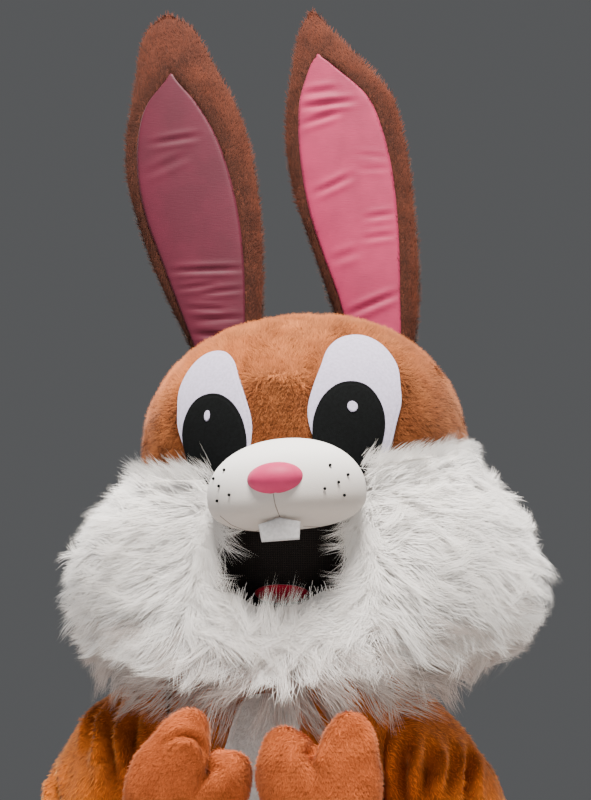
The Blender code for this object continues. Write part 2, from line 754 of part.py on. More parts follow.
def hand_frame(centre, lean, face_turn):
    """Where a mitten lies: its middle, and the directions to its fingertips, side and back."""
    up = Vector((math.sin(lean), 0.0, math.cos(lean)))
    back = Vector((math.sin(face_turn), -math.cos(face_turn), 0.0))
    back = (back - up * back.dot(up)).normalized()
    return SimpleNamespace(centre=Vector(centre), up=up, back=back, across=up.cross(back))


MITTENS = {
    "right": hand_frame((-0.078, -0.372, -0.134), math.radians(33.0), math.radians(33.0)),
    "left": hand_frame((0.101, -0.372, -0.130), 0.0, 0.0),
}


def cuff(side):
    """The last section of a sleeve, a seam gap below its mitten."""
    hand = MITTENS[side]
    return (*(hand.centre - hand.up * (CUFF_LENGTH + SEAM_GAP)), CUFF_RADIUS)


# Arms: the sleeve's middle and its radius from the armhole to the cuff.
ARM_COLUMNS = "x y z radius"
ARMS = {
    "right": Sections(ARM_COLUMNS, (
        (-0.120, 0.000, -0.080, 0.088),
        (-0.168, 0.000, -0.092, 0.103),
        (-0.212, -0.004, -0.122, 0.112),
        (-0.252, -0.014, -0.180, 0.113),
        (-0.288, -0.036, -0.255, 0.104),
        (-0.312, -0.078, -0.335, 0.102),
        (-0.296, -0.150, -0.392, 0.098),
        (-0.256, -0.235, -0.405, 0.088),
        (-0.222, -0.305, -0.380, 0.075),
        (-0.190, -0.352, -0.325, 0.062),
        cuff("right"),
    )),
    "left": Sections(ARM_COLUMNS, (
        (0.110, 0.000, -0.085, 0.080),
        (0.148, 0.000, -0.098, 0.092),
        (0.184, -0.004, -0.130, 0.099),
        (0.220, -0.014, -0.186, 0.099),
        (0.262, -0.036, -0.258, 0.092),
        (0.290, -0.078, -0.335, 0.092),
        (0.280, -0.150, -0.392, 0.092),
        (0.232, -0.235, -0.408, 0.086),
        (0.170, -0.312, -0.392, 0.074),
        (0.118, -0.358, -0.344, 0.062),
        cuff("left"),
    )),
}
SLEEVE_START = 0.08
ARM_FOLDS = 5


ARM_SAMPLES = 60


def arm_direction(side, v):
    """The way a sleeve runs at v; at the cuff it runs into the mitten."""
    if v > 1 - 1 / ARM_SAMPLES:
        return MITTENS[side].up
    ahead, behind = ARMS[side].at(v + 0.01), ARMS[side].at(max(v - 0.01, 0.0))
    return Vector((ahead.x - behind.x, ahead.y - behind.y, ahead.z - behind.z)).normalized()


def seam_directions(side):
    """The way from a sleeve's middle to its top seam, carried along it without a twist."""
    seam = Vector((-0.5 if side == "right" else 0.5, 0.0, 1.0))
    found = []
    for sample in range(ARM_SAMPLES + 1):
        along = arm_direction(side, sample / ARM_SAMPLES)
        seam = (seam - along * seam.dot(along)).normalized()
        found.append(seam)
    return found


ARM_SEAMS = {side: seam_directions(side) for side in ARMS}


def arm(side, swell=0.0):
    """A sleeve: u round it, with its seams on top and underneath; v from shoulder to cuff."""
    def form(u, v):
        row = ARMS[side].at(v)
        along = arm_direction(side, v)
        place = min(max(v, 0.0), 1.0) * ARM_SAMPLES
        near = min(int(place), ARM_SAMPLES - 1)
        up = ARM_SEAMS[side][near].lerp(ARM_SEAMS[side][near + 1], place - near)
        up = (up - along * up.dot(along)).normalized()
        across = along.cross(up)
        turn = 2 * math.pi * u
        folds = FOLD_DEPTH * math.cos(ARM_FOLDS * turn) * math.sin(math.pi * min(v * 1.15, 1.0)) ** 0.7
        radius = row.radius + swell + folds
        return Vector((row.x, row.y, row.z)) + (up * math.cos(turn) + across * math.sin(turn)) * radius
    return form


def build_sleeves():
    for side in ("right", "left"):
        form = arm(side)
        inside = arm(side, -SUIT_PLUSH)
        gap = SEAM_GAP / 2 / (2 * math.pi * 0.045)
        near, far = ("back", "front") if side == "right" else ("front", "back")
        for half, start, end in ((near, gap, 0.5 - gap), (far, 0.5 + gap, 1 - gap)):
            piece = wall("sleeve_{}_{}".format(side, half), span(form, (start, end), (SLEEVE_START, 1)),
                         span(inside, (start, end), (SLEEVE_START, 1)), (10, 11), PLUSH_GOLD)
            cut(piece, BODY_BED)


def armhole(side):
    """A plug the size of the sleeve's inside, which opens the armhole through the suit's wall."""
    inside = span(arm(side, -SUIT_PLUSH), (0.0, 1.0), (0.0, 0.40))
    return as_cutter(finish("armhole_" + side, closed_tube(inside, (20, 6)), PLUSH_GOLD))


# Legs: the middle and radii of each section below the crotch, for the wearer's left leg.
LEG = Sections("height middle_x middle_y half_width half_depth roundness", (
    (CROTCH - SEAM_GAP, 0.124, 0.008, 0.124, 0.202, 0.0),
    (-0.820, 0.126, 0.006, 0.121, 0.176, 0.55),
    (-0.920, 0.127, 0.004, 0.118, 0.146, 1.0),
    (-1.040, 0.126, 0.006, 0.113, 0.128, 1.0),
    (-1.160, 0.125, 0.012, 0.108, 0.118, 1.0),
    (-1.270, 0.125, 0.022, 0.102, 0.108, 1.0),
    (LEG_HEM, 0.125, 0.030, 0.092, 0.092, 1.0),
))


def leg(side, swell=0.0):
    """A trouser leg: u round it from the outer side seam; v from crotch to hem."""
    def form(u, v):
        row = LEG.at(v)
        turn = 2 * math.pi * u
        out, ahead = math.cos(turn), math.sin(turn)
        a, b = row.half_width, row.half_depth
        round_reach = ((abs(out) / a) ** 2.2 + (abs(ahead) / b) ** 2.2) ** (-1 / 2.2)
        place = Vector((row.middle_x + round_reach * out, -round_reach * ahead))
        split = half_torso(out, ahead, a, b)
        place = split.lerp(place, smooth(row.roundness))
        centre = Vector((row.middle_x, 0.0))
        spoke = place - centre
        folds = 0.004 * math.cos(8 * turn) * math.sin(math.pi * v)
        place = centre + spoke * (1 + (swell + folds) / spoke.length)
        sign = 1 if side == "left" else -1
        return Vector((sign * place.x, row.middle_y + place.y, row.height))
    return form


def half_torso(out, ahead, a, b):
    """Half of the suit's section at the crotch, as seen from that half's middle."""
    middle = a
    inner = SEAM_GAP
    low, high = 0.0, 0.6
    for _ in range(40):
        reach = (low + high) / 2
        x, y = middle + reach * out, reach * ahead
        size = (abs(x) / (2 * a)) ** TORSO_SQUARENESS + (abs(y) / b) ** TORSO_SQUARENESS
        if size < 1 and x > inner:
            low = reach
        else:
            high = reach
    return Vector((middle + low * out, -low * ahead))


def build_legs():
    for side in ("right", "left"):
        gap = SEAM_GAP / 2 / (2 * math.pi * 0.085)
        for half, start, end in (("front", gap, 0.5 - gap), ("back", 0.5 + gap, 1 - gap)):
            wall("leg_{}_{}".format(side, half), span(leg(side), (start, end), (0, 1)),
                 span(leg(side, -SUIT_PLUSH), (start, end), (0, 1)), (11, 7), PLUSH_GOLD)


def mitten_outline(u, inset=0.0):
    """A point of the outline, across and up; the last stretch of u crosses the cuff."""
    seam = 1 - CUFF_SHARE
    if u > seam:
        swing = math.pi * (u - seam) / CUFF_SHARE
        return Vector(((CUFF_RADIUS - inset) * math.cos(swing), -CUFF_LENGTH))

    def point(place):
        row = MITTEN.at(min(max(place, 0.0), 1.0))
        turn = math.radians(row.turn)
        return Vector((row.radius * math.sin(turn), row.radius * math.cos(turn)))
    if u < 1e-6 or u > seam - 1e-6:
        side = -1 if u < 1e-6 else 1
        return Vector((side * (CUFF_RADIUS - inset), -CUFF_LENGTH))
    along = point(u / seam + EPS) - point(u / seam - EPS)
    inward = Vector((along.y, -along.x)).normalized()
    return point(u / seam) + inward * inset


def mitten_half(side, facing, inset=0.0):
    """Half a mitten, like half a pillow: u round its outline, v from its middle to its seam."""
    hand = MITTENS[side]
    thumb = -1 if side == "right" else 1

    def form(u, v):
        edge = mitten_outline(u, inset)
        out = math.sin(math.pi / 2 * v)
        arch = 0.0
        if u > 1 - CUFF_SHARE:
            arch = (CUFF_RADIUS - inset) * math.sin(math.pi * (u - 1 + CUFF_SHARE) / CUFF_SHARE)
        height = math.sqrt(max(mix((HAND_DEPTH - inset) ** 2, arch ** 2, out ** 2), 0.0))
        flat = hand.across * (thumb * edge.x * out) + hand.up * (edge.y * out)
        return hand.centre + flat + hand.back * (facing * (height + SEAM_GAP / 2))
    return form


def build_mittens():
    for side in ("right", "left"):
        for half, facing in (("back", 1), ("palm", -1)):
            wall("mitten_{}_{}".format(side, half), mitten_half(side, facing),
                 mitten_half(side, facing, MITTEN_PLUSH), HAND_STEPS, PLUSH_BROWN)


# ---- Feet ---------------------------------------------------------------------------------------

FOOT_X = 0.125
FOOT = Sections("height middle half_length half_width", (
    (FLOOR + SOLE + SEAM_GAP, -0.085, 0.180, 0.085),
    (-1.440, -0.085, 0.186, 0.090),
    (-1.415, -0.080, 0.178, 0.088),
    (-1.395, -0.058, 0.148, 0.083),
    (-1.378, -0.018, 0.112, 0.080),
    (-1.368, 0.018, 0.094, 0.084),
    (LEG_HEM - SEAM_GAP, 0.030, 0.092, 0.092),
))


def foot(side, swell=0.0):
    def form(u, v):
        row = FOOT.at(v)
        turn = 2 * math.pi * u
        power = mix(2.5, 2.2, v)
        side_way, ahead = math.sin(turn), math.cos(turn)
        a, b = row.half_width, row.half_length
        reach = (abs(side_way / a) ** power + abs(ahead / b) ** power) ** (-1 / power) + swell
        sign = 1 if side == "left" else -1
        return Vector((sign * (FOOT_X + reach * side_way), row.middle - reach * ahead, row.height))
    return form


def build_feet():
    for side in ("right", "left"):
        wall("foot_{}_upper".format(side), foot(side), foot(side, -SUIT_PLUSH), (20, 6), PLUSH_BROWN)
        base = grid(lambda u, v: foot(side)(u, 0.0) + Vector((0, 0, -SEAM_GAP - SOLE * v)), (20, 1))
        for ring in (0.0, 1.0):
            close_ring(base, ring)
        finish("foot_{}_sole".format(side), base, SOLE_BLACK)


# ---- Materials and the build --------------------------------------------------------------------

def material(name, colour, roughness):
    made = bpy.data.materials.new(name)
    made.use_nodes = True
    shader = made.node_tree.nodes["Principled BSDF"]
    shader.inputs["Base Color"].default_value = (*colour, 1.0)
    shader.inputs["Roughness"].default_value = roughness
    shader.inputs["Metallic"].default_value = 0.0
    return made


for stale in list(bpy.data.objects):
    bpy.data.objects.remove(stale)

PIECES = bpy.data.collections.new("Rabbit costume")
CUTTERS = bpy.data.collections.new("Cutters")
for collection in (PIECES, CUTTERS):
    bpy.context.scene.collection.children.link(collection)

PLUSH_BROWN = material("brown plush", (0.46, 0.19, 0.07), 0.9)
PLUSH_GOLD = material("golden brown plush", (0.46, 0.19, 0.04), 0.9)
PLUSH_WHITE = material("white plush", (0.75, 0.75, 0.74), 0.9)
FUR_WHITE = material("long white fur", (0.80, 0.79, 0.76), 0.9)
SATIN_PINK = material("pink satin", (0.70, 0.18, 0.26), 0.45)
FELT_WHITE = material("white felt", (0.66, 0.62, 0.72), 0.9)
FELT_BLACK = material("black felt", (0.01, 0.01, 0.012), 0.9)
FELT_TOOTH = material("tooth felt", (0.80, 0.80, 0.80), 0.8)
FELT_RED = material("crimson felt", (0.40, 0.01, 0.04), 0.9)
MESH_BLACK = material("black mesh", (0.01, 0.01, 0.01), 0.8)
SOLE_BLACK = material("black sole", (0.02, 0.02, 0.02), 0.7)

HEAD_BED = head_bed()
BODY_BED = body_bed()
MUZZLE_BED = as_cutter(muzzle_solid("muzzle_bed", SEAM_GAP, MUZZLE_STEPS, PLUSH_WHITE))
EYE_BEDS = []
ARMHOLES = [armhole(side) for side in ("right", "left")]

build_dome()
build_ears()
build_eyes()
muzzle_solid("muzzle", 0.0, MUZZLE_STEPS, PLUSH_WHITE)
cut(nose_solid("nose", SATIN_PINK), MUZZLE_BED)
build_tooth()
build_mouth()
build_ruff()
build_torso()
build_belly()
build_zip_flap()
build_tail()
build_sleeves()
build_legs()
build_mittens()
build_feet()
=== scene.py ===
"""Dresses the rabbit costume's frame: plush, long fur, felt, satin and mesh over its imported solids.

Lengths are metres in the frame's own axes: +Z up, the face looks along -Y and the wearer's left
is +X. Each cloth piece is a thin shell on its solid's form, and its pile is a joined mesh of
narrow strands that reach the solid's face.
"""

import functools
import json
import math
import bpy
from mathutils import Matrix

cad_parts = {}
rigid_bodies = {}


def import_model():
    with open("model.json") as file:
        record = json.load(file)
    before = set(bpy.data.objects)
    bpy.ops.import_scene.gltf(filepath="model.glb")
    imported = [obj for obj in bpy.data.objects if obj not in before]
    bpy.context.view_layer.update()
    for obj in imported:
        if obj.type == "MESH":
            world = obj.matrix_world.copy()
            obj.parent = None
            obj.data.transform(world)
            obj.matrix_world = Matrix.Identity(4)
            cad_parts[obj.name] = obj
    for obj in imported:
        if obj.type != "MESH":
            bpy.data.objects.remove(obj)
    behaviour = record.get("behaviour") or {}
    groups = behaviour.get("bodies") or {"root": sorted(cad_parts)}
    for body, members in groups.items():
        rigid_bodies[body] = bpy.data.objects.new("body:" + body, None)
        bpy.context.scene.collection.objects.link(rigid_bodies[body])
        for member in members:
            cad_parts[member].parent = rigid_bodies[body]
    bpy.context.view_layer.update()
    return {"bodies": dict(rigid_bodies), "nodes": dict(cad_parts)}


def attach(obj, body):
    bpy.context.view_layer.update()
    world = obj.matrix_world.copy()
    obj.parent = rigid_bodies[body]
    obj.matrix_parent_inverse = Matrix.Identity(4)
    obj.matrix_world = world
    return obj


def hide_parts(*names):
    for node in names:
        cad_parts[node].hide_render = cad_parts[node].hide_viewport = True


bl_info = {
    "name": "Rabbit costume",
    "version": (1, 0, 0),
    "blender": (4, 5, 0),
    "location": "View3D > Sidebar > Rabbit",
    "description": "Plush, long fur, felt and satin for the rabbit costume's frame",
    "category": "Object",
}

from types import SimpleNamespace

import bmesh
import bpy
import numpy as np
from bpy.props import FloatProperty, FloatVectorProperty, IntProperty, PointerProperty
from mathutils import Matrix, Vector
from mathutils.bvhtree import BVHTree
from mathutils.kdtree import KDTree

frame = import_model()
BODY = next(iter(frame["bodies"]))     # the costume's only body

# ---- Driving dimensions, as in the solids -------------------------------------------------------

FLOOR = -1.470             # the soles, below the wearer's shoulder line
SEAM_GAP = 0.0003
EPS = 0.002                # step, in grid units, for a surface's slopes

HEAD_PLUSH = 0.010
FELT = 0.0025
THIN_FELT = 0.0015
RUFF_PILE = 0.085

HEAD_CENTRE = Vector((0.028, 0.0, 0.330))
HEAD_ROLL = math.radians(-4.0)
HEAD_RADII = Vector((0.2545, 0.245, 0.225))
HEAD_SQUARENESS = 2.2
DOME_PITCH = math.radians(9.0)        # the brown dome reaches lower at the face than at the back
GUSSET_ANGLE = math.radians(12.0)     # half the strip over the crown
FACE_RADIUS = 0.250                   # turns sizes on the face into angles
HALF_STRIP = GUSSET_ANGLE / math.pi

RUFF_CENTRE = Vector((0.018, 0.0, 0.330))
NECK_RADIUS = 0.185
NECK_LIP = SimpleNamespace(front=-0.300, left=-0.300, back=-0.300, right=-0.3185)
MOUTH = SimpleNamespace(right=math.radians(-20.6), left=math.radians(26.0), drop=0.222)

MUZZLE_CENTRE = Vector((0.009, -0.262, -0.070))
MUZZLE_HALF_WIDTH = 0.113
MUZZLE_DEPTH = 0.075
MUZZLE_UP = 0.080
MUZZLE_DOWN = 0.051
MUZZLE_POWER_UP = 2.1      # how square its outline is, above its middle and below
MUZZLE_POWER_DOWN = 2.6
MUZZLE_FLATNESS = 0.92     # below 1, its front is a little flatter than an ellipse
MUZZLE_SEAT = 0.004        # the muzzle's back lies this far inside the head's form

NOSE_CENTRE = Vector((0.006, -0.322, -0.051))
NOSE_RADII = Vector((0.040, 0.030, 0.023))

TOOTH = SimpleNamespace(centre=0.006, top=-0.106, width_top=0.058, width_bottom=0.052,
                        height=0.029, thick=0.005, peak=0.004)

EAR_BACK_LEAN = 0.07       # the ears' tips lie back by this share of their height
EAR_ROOT = 0.030           # and their roots are this far behind the head's middle
EAR_BASE = 0.440
LINING = 0.004
LINING_SUNK = 0.008        # the ear's pink satin lies in a bed this deep

LEG_HEM = -1.360
CROTCH = -0.745
SOLE = 0.008

# Cloth of the dressed pieces
BACKING = 0.003            # woven backing of a plush
FUR_BACKING = 0.004
SUIT_NAP = 0.006           # a backing lies this far behind the face that its pile reaches
HEAD_NAP = 0.008
MITTEN_NAP = 0.005
BELLY_NAP = 0.006


class Sections:
    """Named sizes at stations along a piece, with a smooth curve through them."""

    def __init__(self, columns, rows, closed=False):
        self.columns = columns.split()
        self.rows = rows
        self.closed = closed

    def at(self, where):
        """Sizes at `where`, from 0 at the first row to 1 at the last."""
        count = len(self.rows)
        spans = count if self.closed else count - 1
        place = where * spans
        first = math.floor(place) if self.closed else min(max(math.floor(place), 0), spans - 1)
        part = place - first
        near = []
        for step in (-1, 0, 1, 2):
            index = first + step
            near.append(self.rows[index % count if self.closed else min(max(index, 0), count - 1)])
        values = []
        for a, b, c, d in zip(*near):
            curve = (2 * a - 5 * b + 4 * c - d) * part ** 2 + (3 * b - a - 3 * c + d) * part ** 3
            values.append(b + 0.5 * ((c - a) * part + curve))
        return SimpleNamespace(**dict(zip(self.columns, values)))


def named_rows(columns, rows):
    """Each row of a table, with its columns' names."""
    return [SimpleNamespace(**dict(zip(columns.split(), row))) for row in rows]


def mix(a, b, share):
    return a + (b - a) * share


def smooth(share):
    share = min(max(share, 0.0), 1.0)
    return share * share * (3 - 2 * share)


def last_short(short, low, high, halvings=40):
    """The farthest place from low to high that is still short of a goal, found by halving."""
    for _ in range(halvings):
        middle = (low + high) / 2
        if short(middle):
            low = middle
        else:
            high = middle
    return low


def oval(across, up, half_width, half_height, power):
    """How far an oval's edge lies from its middle in the direction (across, up)."""
    return (abs(across / half_width) ** power + abs(up / half_height) ** power) ** (-1 / power)


def outward(form, u, v):
    """The form's normal, taken from its own slopes; at a pole the slopes are read beside it."""
    for shift in (0.0, EPS, -EPS):
        place = v + shift
        side = form(u + EPS, place) - form(u - EPS, place)
        rise = form(u, place + EPS) - form(u, place - EPS)
        normal = rise.cross(side)
        if normal.length > 1e-9:
            return normal.normalized()
    raise RuntimeError("a surface has no normal")


def lifted(form, height):
    """A form moved out along its own normals."""
    return lambda u, v: form(u, v) + outward(form, u, v) * height


# ---- Head forms ----------------------------------------------------------------------------------

HEAD = Matrix.Translation(HEAD_CENTRE) @ Matrix.Rotation(HEAD_ROLL, 4, "Y")


def head_reach(direction, swell=0.0):
    """The point of the head's form in a direction from its centre, in the head's own frame."""
    power = HEAD_SQUARENESS
    total = 0.0
    for part, radius in zip(direction, HEAD_RADII):
        total += (abs(part) / (radius + swell)) ** power
    return direction * total ** (-1 / power)


def dome(u, v):
    """The dome: u runs over the crown from brow to nape, v from the right ear to the left."""
    over = math.pi * u - DOME_PITCH
    side = math.pi * (v - 0.5)
    direction = Vector((math.sin(side), -math.cos(side) * math.cos(over),
                        math.cos(side) * math.sin(over)))
    return HEAD @ head_reach(direction)


def face(across, up, lift):
    """A point on the face, from sizes measured along it from the head's centre line and middle."""
    turn, rise = across / FACE_RADIUS, up / FACE_RADIUS
    direction = Vector((math.sin(turn) * math.cos(rise), -math.cos(turn) * math.cos(rise),
                        math.sin(rise)))
    point = head_reach(direction)
    slope = Vector([math.copysign(abs(part / radius) ** (HEAD_SQUARENESS - 1), part) / radius
                    for part, radius in zip(point, HEAD_RADII)])
    return HEAD @ (point + slope.normalized() * lift)


# ---- Ear forms -----------------------------------------------------------------------------------

# Heights are from the origin; edges and lining edges are across the wearer, from the right.
EAR_COLUMNS = "height right left lining_right lining_left thick"
EARS = {
    "right": Sections(EAR_COLUMNS, (
        (EAR_BASE, -0.150, -0.045, -0.125, -0.073, 0.044),
        (0.511, -0.171, -0.042, -0.155, -0.074, 0.046),
        (0.587, -0.209, -0.042, -0.186, -0.075, 0.046),
        (0.657, -0.241, -0.043, -0.214, -0.079, 0.044),
        (0.727, -0.266, -0.047, -0.242, -0.088, 0.042),
        (0.797, -0.286, -0.057, -0.259, -0.104, 0.040),
        (0.867, -0.291, -0.072, -0.262, -0.129, 0.038),
        (0.927, -0.285, -0.093, -0.249, -0.164, 0.036),
        (0.983, -0.278, -0.122, -0.209, -0.207, 0.033),
        (1.032, -0.272, -0.148, -0.207, -0.206, 0.028),
        (1.070, -0.259, -0.172, -0.212, -0.211, 0.021),
        (1.093, -0.232, -0.206, -0.220, -0.219, 0.010),
    )),
    "left": Sections(EAR_COLUMNS, (
        (EAR_BASE, 0.092, 0.190, 0.116, 0.170, 0.044),
        (0.511, 0.080, 0.204, 0.098, 0.176, 0.046),
        (0.587, 0.055, 0.210, 0.078, 0.175, 0.046),
        (0.657, 0.031, 0.209, 0.053, 0.174, 0.044),
        (0.727, 0.007, 0.203, 0.030, 0.170, 0.042),
        (0.797, -0.012, 0.197, 0.016, 0.162, 0.040),
        (0.867, -0.020, 0.184, 0.009, 0.146, 0.038),
        (0.927, -0.019, 0.169, 0.011, 0.120, 0.036),
        (0.983, -0.011, 0.128, 0.028, 0.062, 0.033),
        (1.004, -0.008, 0.108, 0.039, 0.041, 0.031),
        (1.047, 0.000, 0.070, 0.035, 0.036, 0.024),
        (1.083, 0.019, 0.040, 0.029, 0.030, 0.010),
    )),
}
EAR_SQUARENESS = 2.5
LINING_TIP = {"right": 8 / 11, "left": 9 / 11}


def ear_middle(height):
    """How far behind the origin the ear's middle lies."""
    return EAR_ROOT + EAR_BACK_LEAN * (height - EAR_BASE)


def ear_face(row, across):
    """Half the ear's thickness at a place across it, from -1 to 1."""
    return row.thick / 2 * max(1 - abs(across) ** EAR_SQUARENESS, 0.0) ** (1 / EAR_SQUARENESS)


def ear_body(side):
    """The ear's closed padded form: u round each section, v from root to tip."""
    def form(u, v):
        row = EARS[side].at(v)
        turn = 2 * math.pi * u
        middle, half = (row.left + row.right) / 2, (row.left - row.right) / 2
        power = 2 / EAR_SQUARENESS
        across = math.copysign(abs(math.cos(turn)) ** power, math.cos(turn))
        depth = math.copysign(abs(math.sin(turn)) ** power, math.sin(turn))
        return Vector((middle + half * across, ear_middle(row.height) + row.thick / 2 * depth,
                       row.height))
    return form


def ear_lining(side, depth, margin):
    """The satin in the ear's front: v from root to tip, lying `depth` behind the fur's face.

    It reaches a margin past its outline, under the fur that leans over it.
    """
    def form(u, v):
        last = LINING_TIP[side]
        row = EARS[side].at(last * v)
        narrowed = smooth((1 - v) / 0.02)
        right = row.lining_right - margin
        left = mix(right + 2 * margin, row.lining_left + margin, 1 if v < 1 else narrowed)
        x = mix(right, left, u)
        middle, half = (row.left + row.right) / 2, (row.left - row.right) / 2
        face_depth = ear_face(row, (x - middle) / half)
        return Vector((x, ear_middle(row.height) - face_depth + depth,
                       row.height + margin * smooth(v)))
    return form


# ---- Face forms ----------------------------------------------------------------------------------

def muzzle_rim(turn, theta):
    """A point of the muzzle's cushion: turn runs round the face from the wearer's left."""
    upper = math.sin(turn) > 0
    up, power = (MUZZLE_UP, MUZZLE_POWER_UP) if upper else (MUZZLE_DOWN, MUZZLE_POWER_DOWN)
    reach = oval(math.cos(turn), math.sin(turn), MUZZLE_HALF_WIDTH, up, power)
    spread = math.sin(theta) ** MUZZLE_FLATNESS if theta < math.pi / 2 else math.sin(theta)
    return MUZZLE_CENTRE + Vector((reach * spread * math.cos(turn), -MUZZLE_DEPTH * math.cos(theta),
                                   reach * spread * math.sin(turn)))


def muzzle_back(x):
    """How far forward the muzzle's back lies: a little inside the head, upright."""
    share = (abs(x) / HEAD_RADII.x) ** HEAD_SQUARENESS
    return -(HEAD_RADII.y - MUZZLE_SEAT) * (1 - share) ** (1 / HEAD_SQUARENESS)


@functools.cache
def muzzle_edge(turn):
    """The angle from the muzzle's front at which its side meets its back."""
    def before_back(theta):
        point = muzzle_rim(turn, theta)
        return point.y < muzzle_back(point.x)
    return last_short(before_back, math.pi / 2, math.pi * 0.95)


def muzzle_front(x, z):
    """How far forward the muzzle's surface is at a place on its lower front."""
    dx, dz = x - MUZZLE_CENTRE.x, z - MUZZLE_CENTRE.z
    turn = math.atan2(dz, dx)

    def inside(theta):
        point = muzzle_rim(turn, theta) - MUZZLE_CENTRE
        return math.hypot(point.x, point.z) < math.hypot(dx, dz)
    return muzzle_rim(turn, last_short(inside, 0.0, math.pi / 2)).y


def outline_of(*radii):
    """A closed outline, by its radius at even turns from the top, towards the outer corner."""
    return Sections("radius", [(radius,) for radius in radii], closed=True)


WHITE_OUTLINE = outline_of(0.093, 0.099, 0.078, 0.060, 0.061, 0.075,
                           0.122, 0.121, 0.100, 0.076, 0.069, 0.080)
PUPIL_OUTLINE = outline_of(0.062, 0.064, 0.057, 0.052, 0.053, 0.064,
                           0.076, 0.072, 0.060, 0.053, 0.052, 0.056)
GLINT_OUTLINE = outline_of(0.0075, 0.0070, 0.0075, 0.0070)

# Where each eye lies on the face, how wide it is drawn, and where its pupil and glint lie in it
EYES = named_rows("side across up width pupil_across pupil_up glint_across glint_up glint_width", (
    (-1, -0.116, 0.074, 0.90, -0.100, 0.025, -0.107, 0.053, 0.60),
    (1, 0.133, 0.083, 1.02, 0.103, 0.025, 0.109, 0.048, 1.00),
))


def eye_form(outline, centre, side, width, lift):
    """A flat outline on the face, drawn in rings from its middle."""
    def form(u, v):
        turn = 2 * math.pi * u
        radius = outline.at(u).radius * v
        return face(centre[0] + side * width * radius * math.sin(turn),
                    centre[1] + radius * math.cos(turn), lift)
    return form


# ---- Ruff forms ----------------------------------------------------------------------------------

# Radii of the fur's outer face at the front, the wearer's left, the back and the right.
RUFF = Sections("drop front left back right", (
    (0.00, 0.240, 0.256, 0.246, 0.256),
    (0.09, 0.252, 0.300, 0.286, 0.292),
    (0.22, 0.256, 0.345, 0.318, 0.327),
    (0.38, 0.262, 0.372, 0.338, 0.353),
    (0.54, 0.272, 0.385, 0.350, 0.365),
    (0.68, 0.285, 0.384, 0.350, 0.358),
    (0.80, 0.296, 0.366, 0.340, 0.347),
    (0.91, 0.299, 0.338, 0.320, 0.340),
    (1.00, 0.287, 0.300, 0.290, 0.315),
))
INSIDE = Sections("radius", ((0.2350,), (0.2345,), (0.2320,), (0.2260,), (0.2160,), (0.2020,),
                             (NECK_RADIUS,)))
RUFF_LIP = SimpleNamespace(front=-0.405, left=-0.343, back=-0.385, right=-0.325)
TUFT = 0.008               # how far the fur's locks stand out and in
CHEEK_END = math.radians(125.0)       # where the cheeks' seams to the back piece run


def around(theta, sizes):
    """Blend four sizes, at the front, left, back and right, round the ruff."""
    forward, sideways = math.cos(theta), math.sin(theta)
    ahead = sizes.front if forward > 0 else sizes.back
    beside = sizes.left if sideways > 0 else sizes.right
    return ahead * forward ** 2 + beside * sideways ** 2


def ruff_seam(theta, swell=0.0):
    """The dome's lower edge, in the direction theta round the head."""
    slope = math.tan(DOME_PITCH)
    direction = Vector((math.sin(theta), -math.cos(theta), -slope * math.cos(theta)))
    direction.normalize()
    direction.z -= SEAM_GAP / FACE_RADIUS
    return HEAD @ head_reach(direction, swell)


def ruff_outer(theta, v):
    row = RUFF.at(v)
    radius = around(theta, row)
    radius += TUFT * math.sin(7 * theta + 2 * math.pi * v) * math.sin(math.pi * v)
    z = row.drop * around(theta, RUFF_LIP)
    free = RUFF_CENTRE + Vector((radius * math.sin(theta), -radius * math.cos(theta), z))
    seam = ruff_seam(theta)
    lead = smooth(v / 0.30)
    level = Vector((0, 0, (seam.z - RUFF_CENTRE.z) * (1 - smooth(v / 0.45))))
    return seam.lerp(free + level, lead)


def ruff_inner(theta, v):
    radius = max(INSIDE.at(v).radius, around(theta, RUFF.at(v)) - RUFF_PILE)
    radius = mix(radius, NECK_RADIUS, smooth((v - 0.6) / 0.4))
    free = RUFF_CENTRE + Vector((radius * math.sin(theta), -radius * math.cos(theta),
                                 around(theta, NECK_LIP) * v))
    seam = ruff_seam(theta, -HEAD_PLUSH)
    level = Vector((0, 0, (seam.z - RUFF_CENTRE.z) * (1 - smooth(v / 0.45))))
    return seam.lerp(free + level, smooth(v / 0.12))


# The mouth lies on the ruff's inner face: places are turns from the front and shares of the drop.
MESH_THICK = 0.002
MESH_REACH = (0.14, 0.83)
MESH_OVERLAP = math.radians(5.0)      # the panel reaches this far behind the cheeks
RUFF_FACET = 0.0025        # how far the ruff's inner facets stand inside its true curve
TONGUE = SimpleNamespace(turn=0.037, half_turn=0.186, drop=0.690, half_drop=0.047, thick=0.006)


def behind_ruff(theta, drop, inset):
    """A point on the ruff's inner face, moved in towards the neck."""
    point = ruff_inner(theta, drop)
    spoke = Vector((point.x - RUFF_CENTRE.x, point.y - RUFF_CENTRE.y, 0.0))
    return point - spoke.normalized() * inset


# ---- Suit forms ----------------------------------------------------------------------------------

TORSO = Sections("height half_width half_depth middle", (
    (0.060, 0.112, 0.100, 0.012),
    (0.034, 0.140, 0.112, 0.008),
    (0.006, 0.170, 0.126, 0.004),
    (-0.030, 0.192, 0.142, 0.000),
    (-0.080, 0.200, 0.158, 0.000),
    (-0.150, 0.194, 0.170, 0.000),
    (-0.225, 0.184, 0.176, 0.000),
    (-0.310, 0.190, 0.182, 0.000),
    (-0.410, 0.214, 0.194, 0.000),
    (-0.510, 0.236, 0.204, 0.002),
    (-0.610, 0.247, 0.208, 0.004),
    (-0.690, 0.250, 0.206, 0.006),
    (CROTCH, 0.248, 0.202, 0.008),
))
TORSO_SQUARENESS = 2.3
FOLD_DEPTH = 0.006


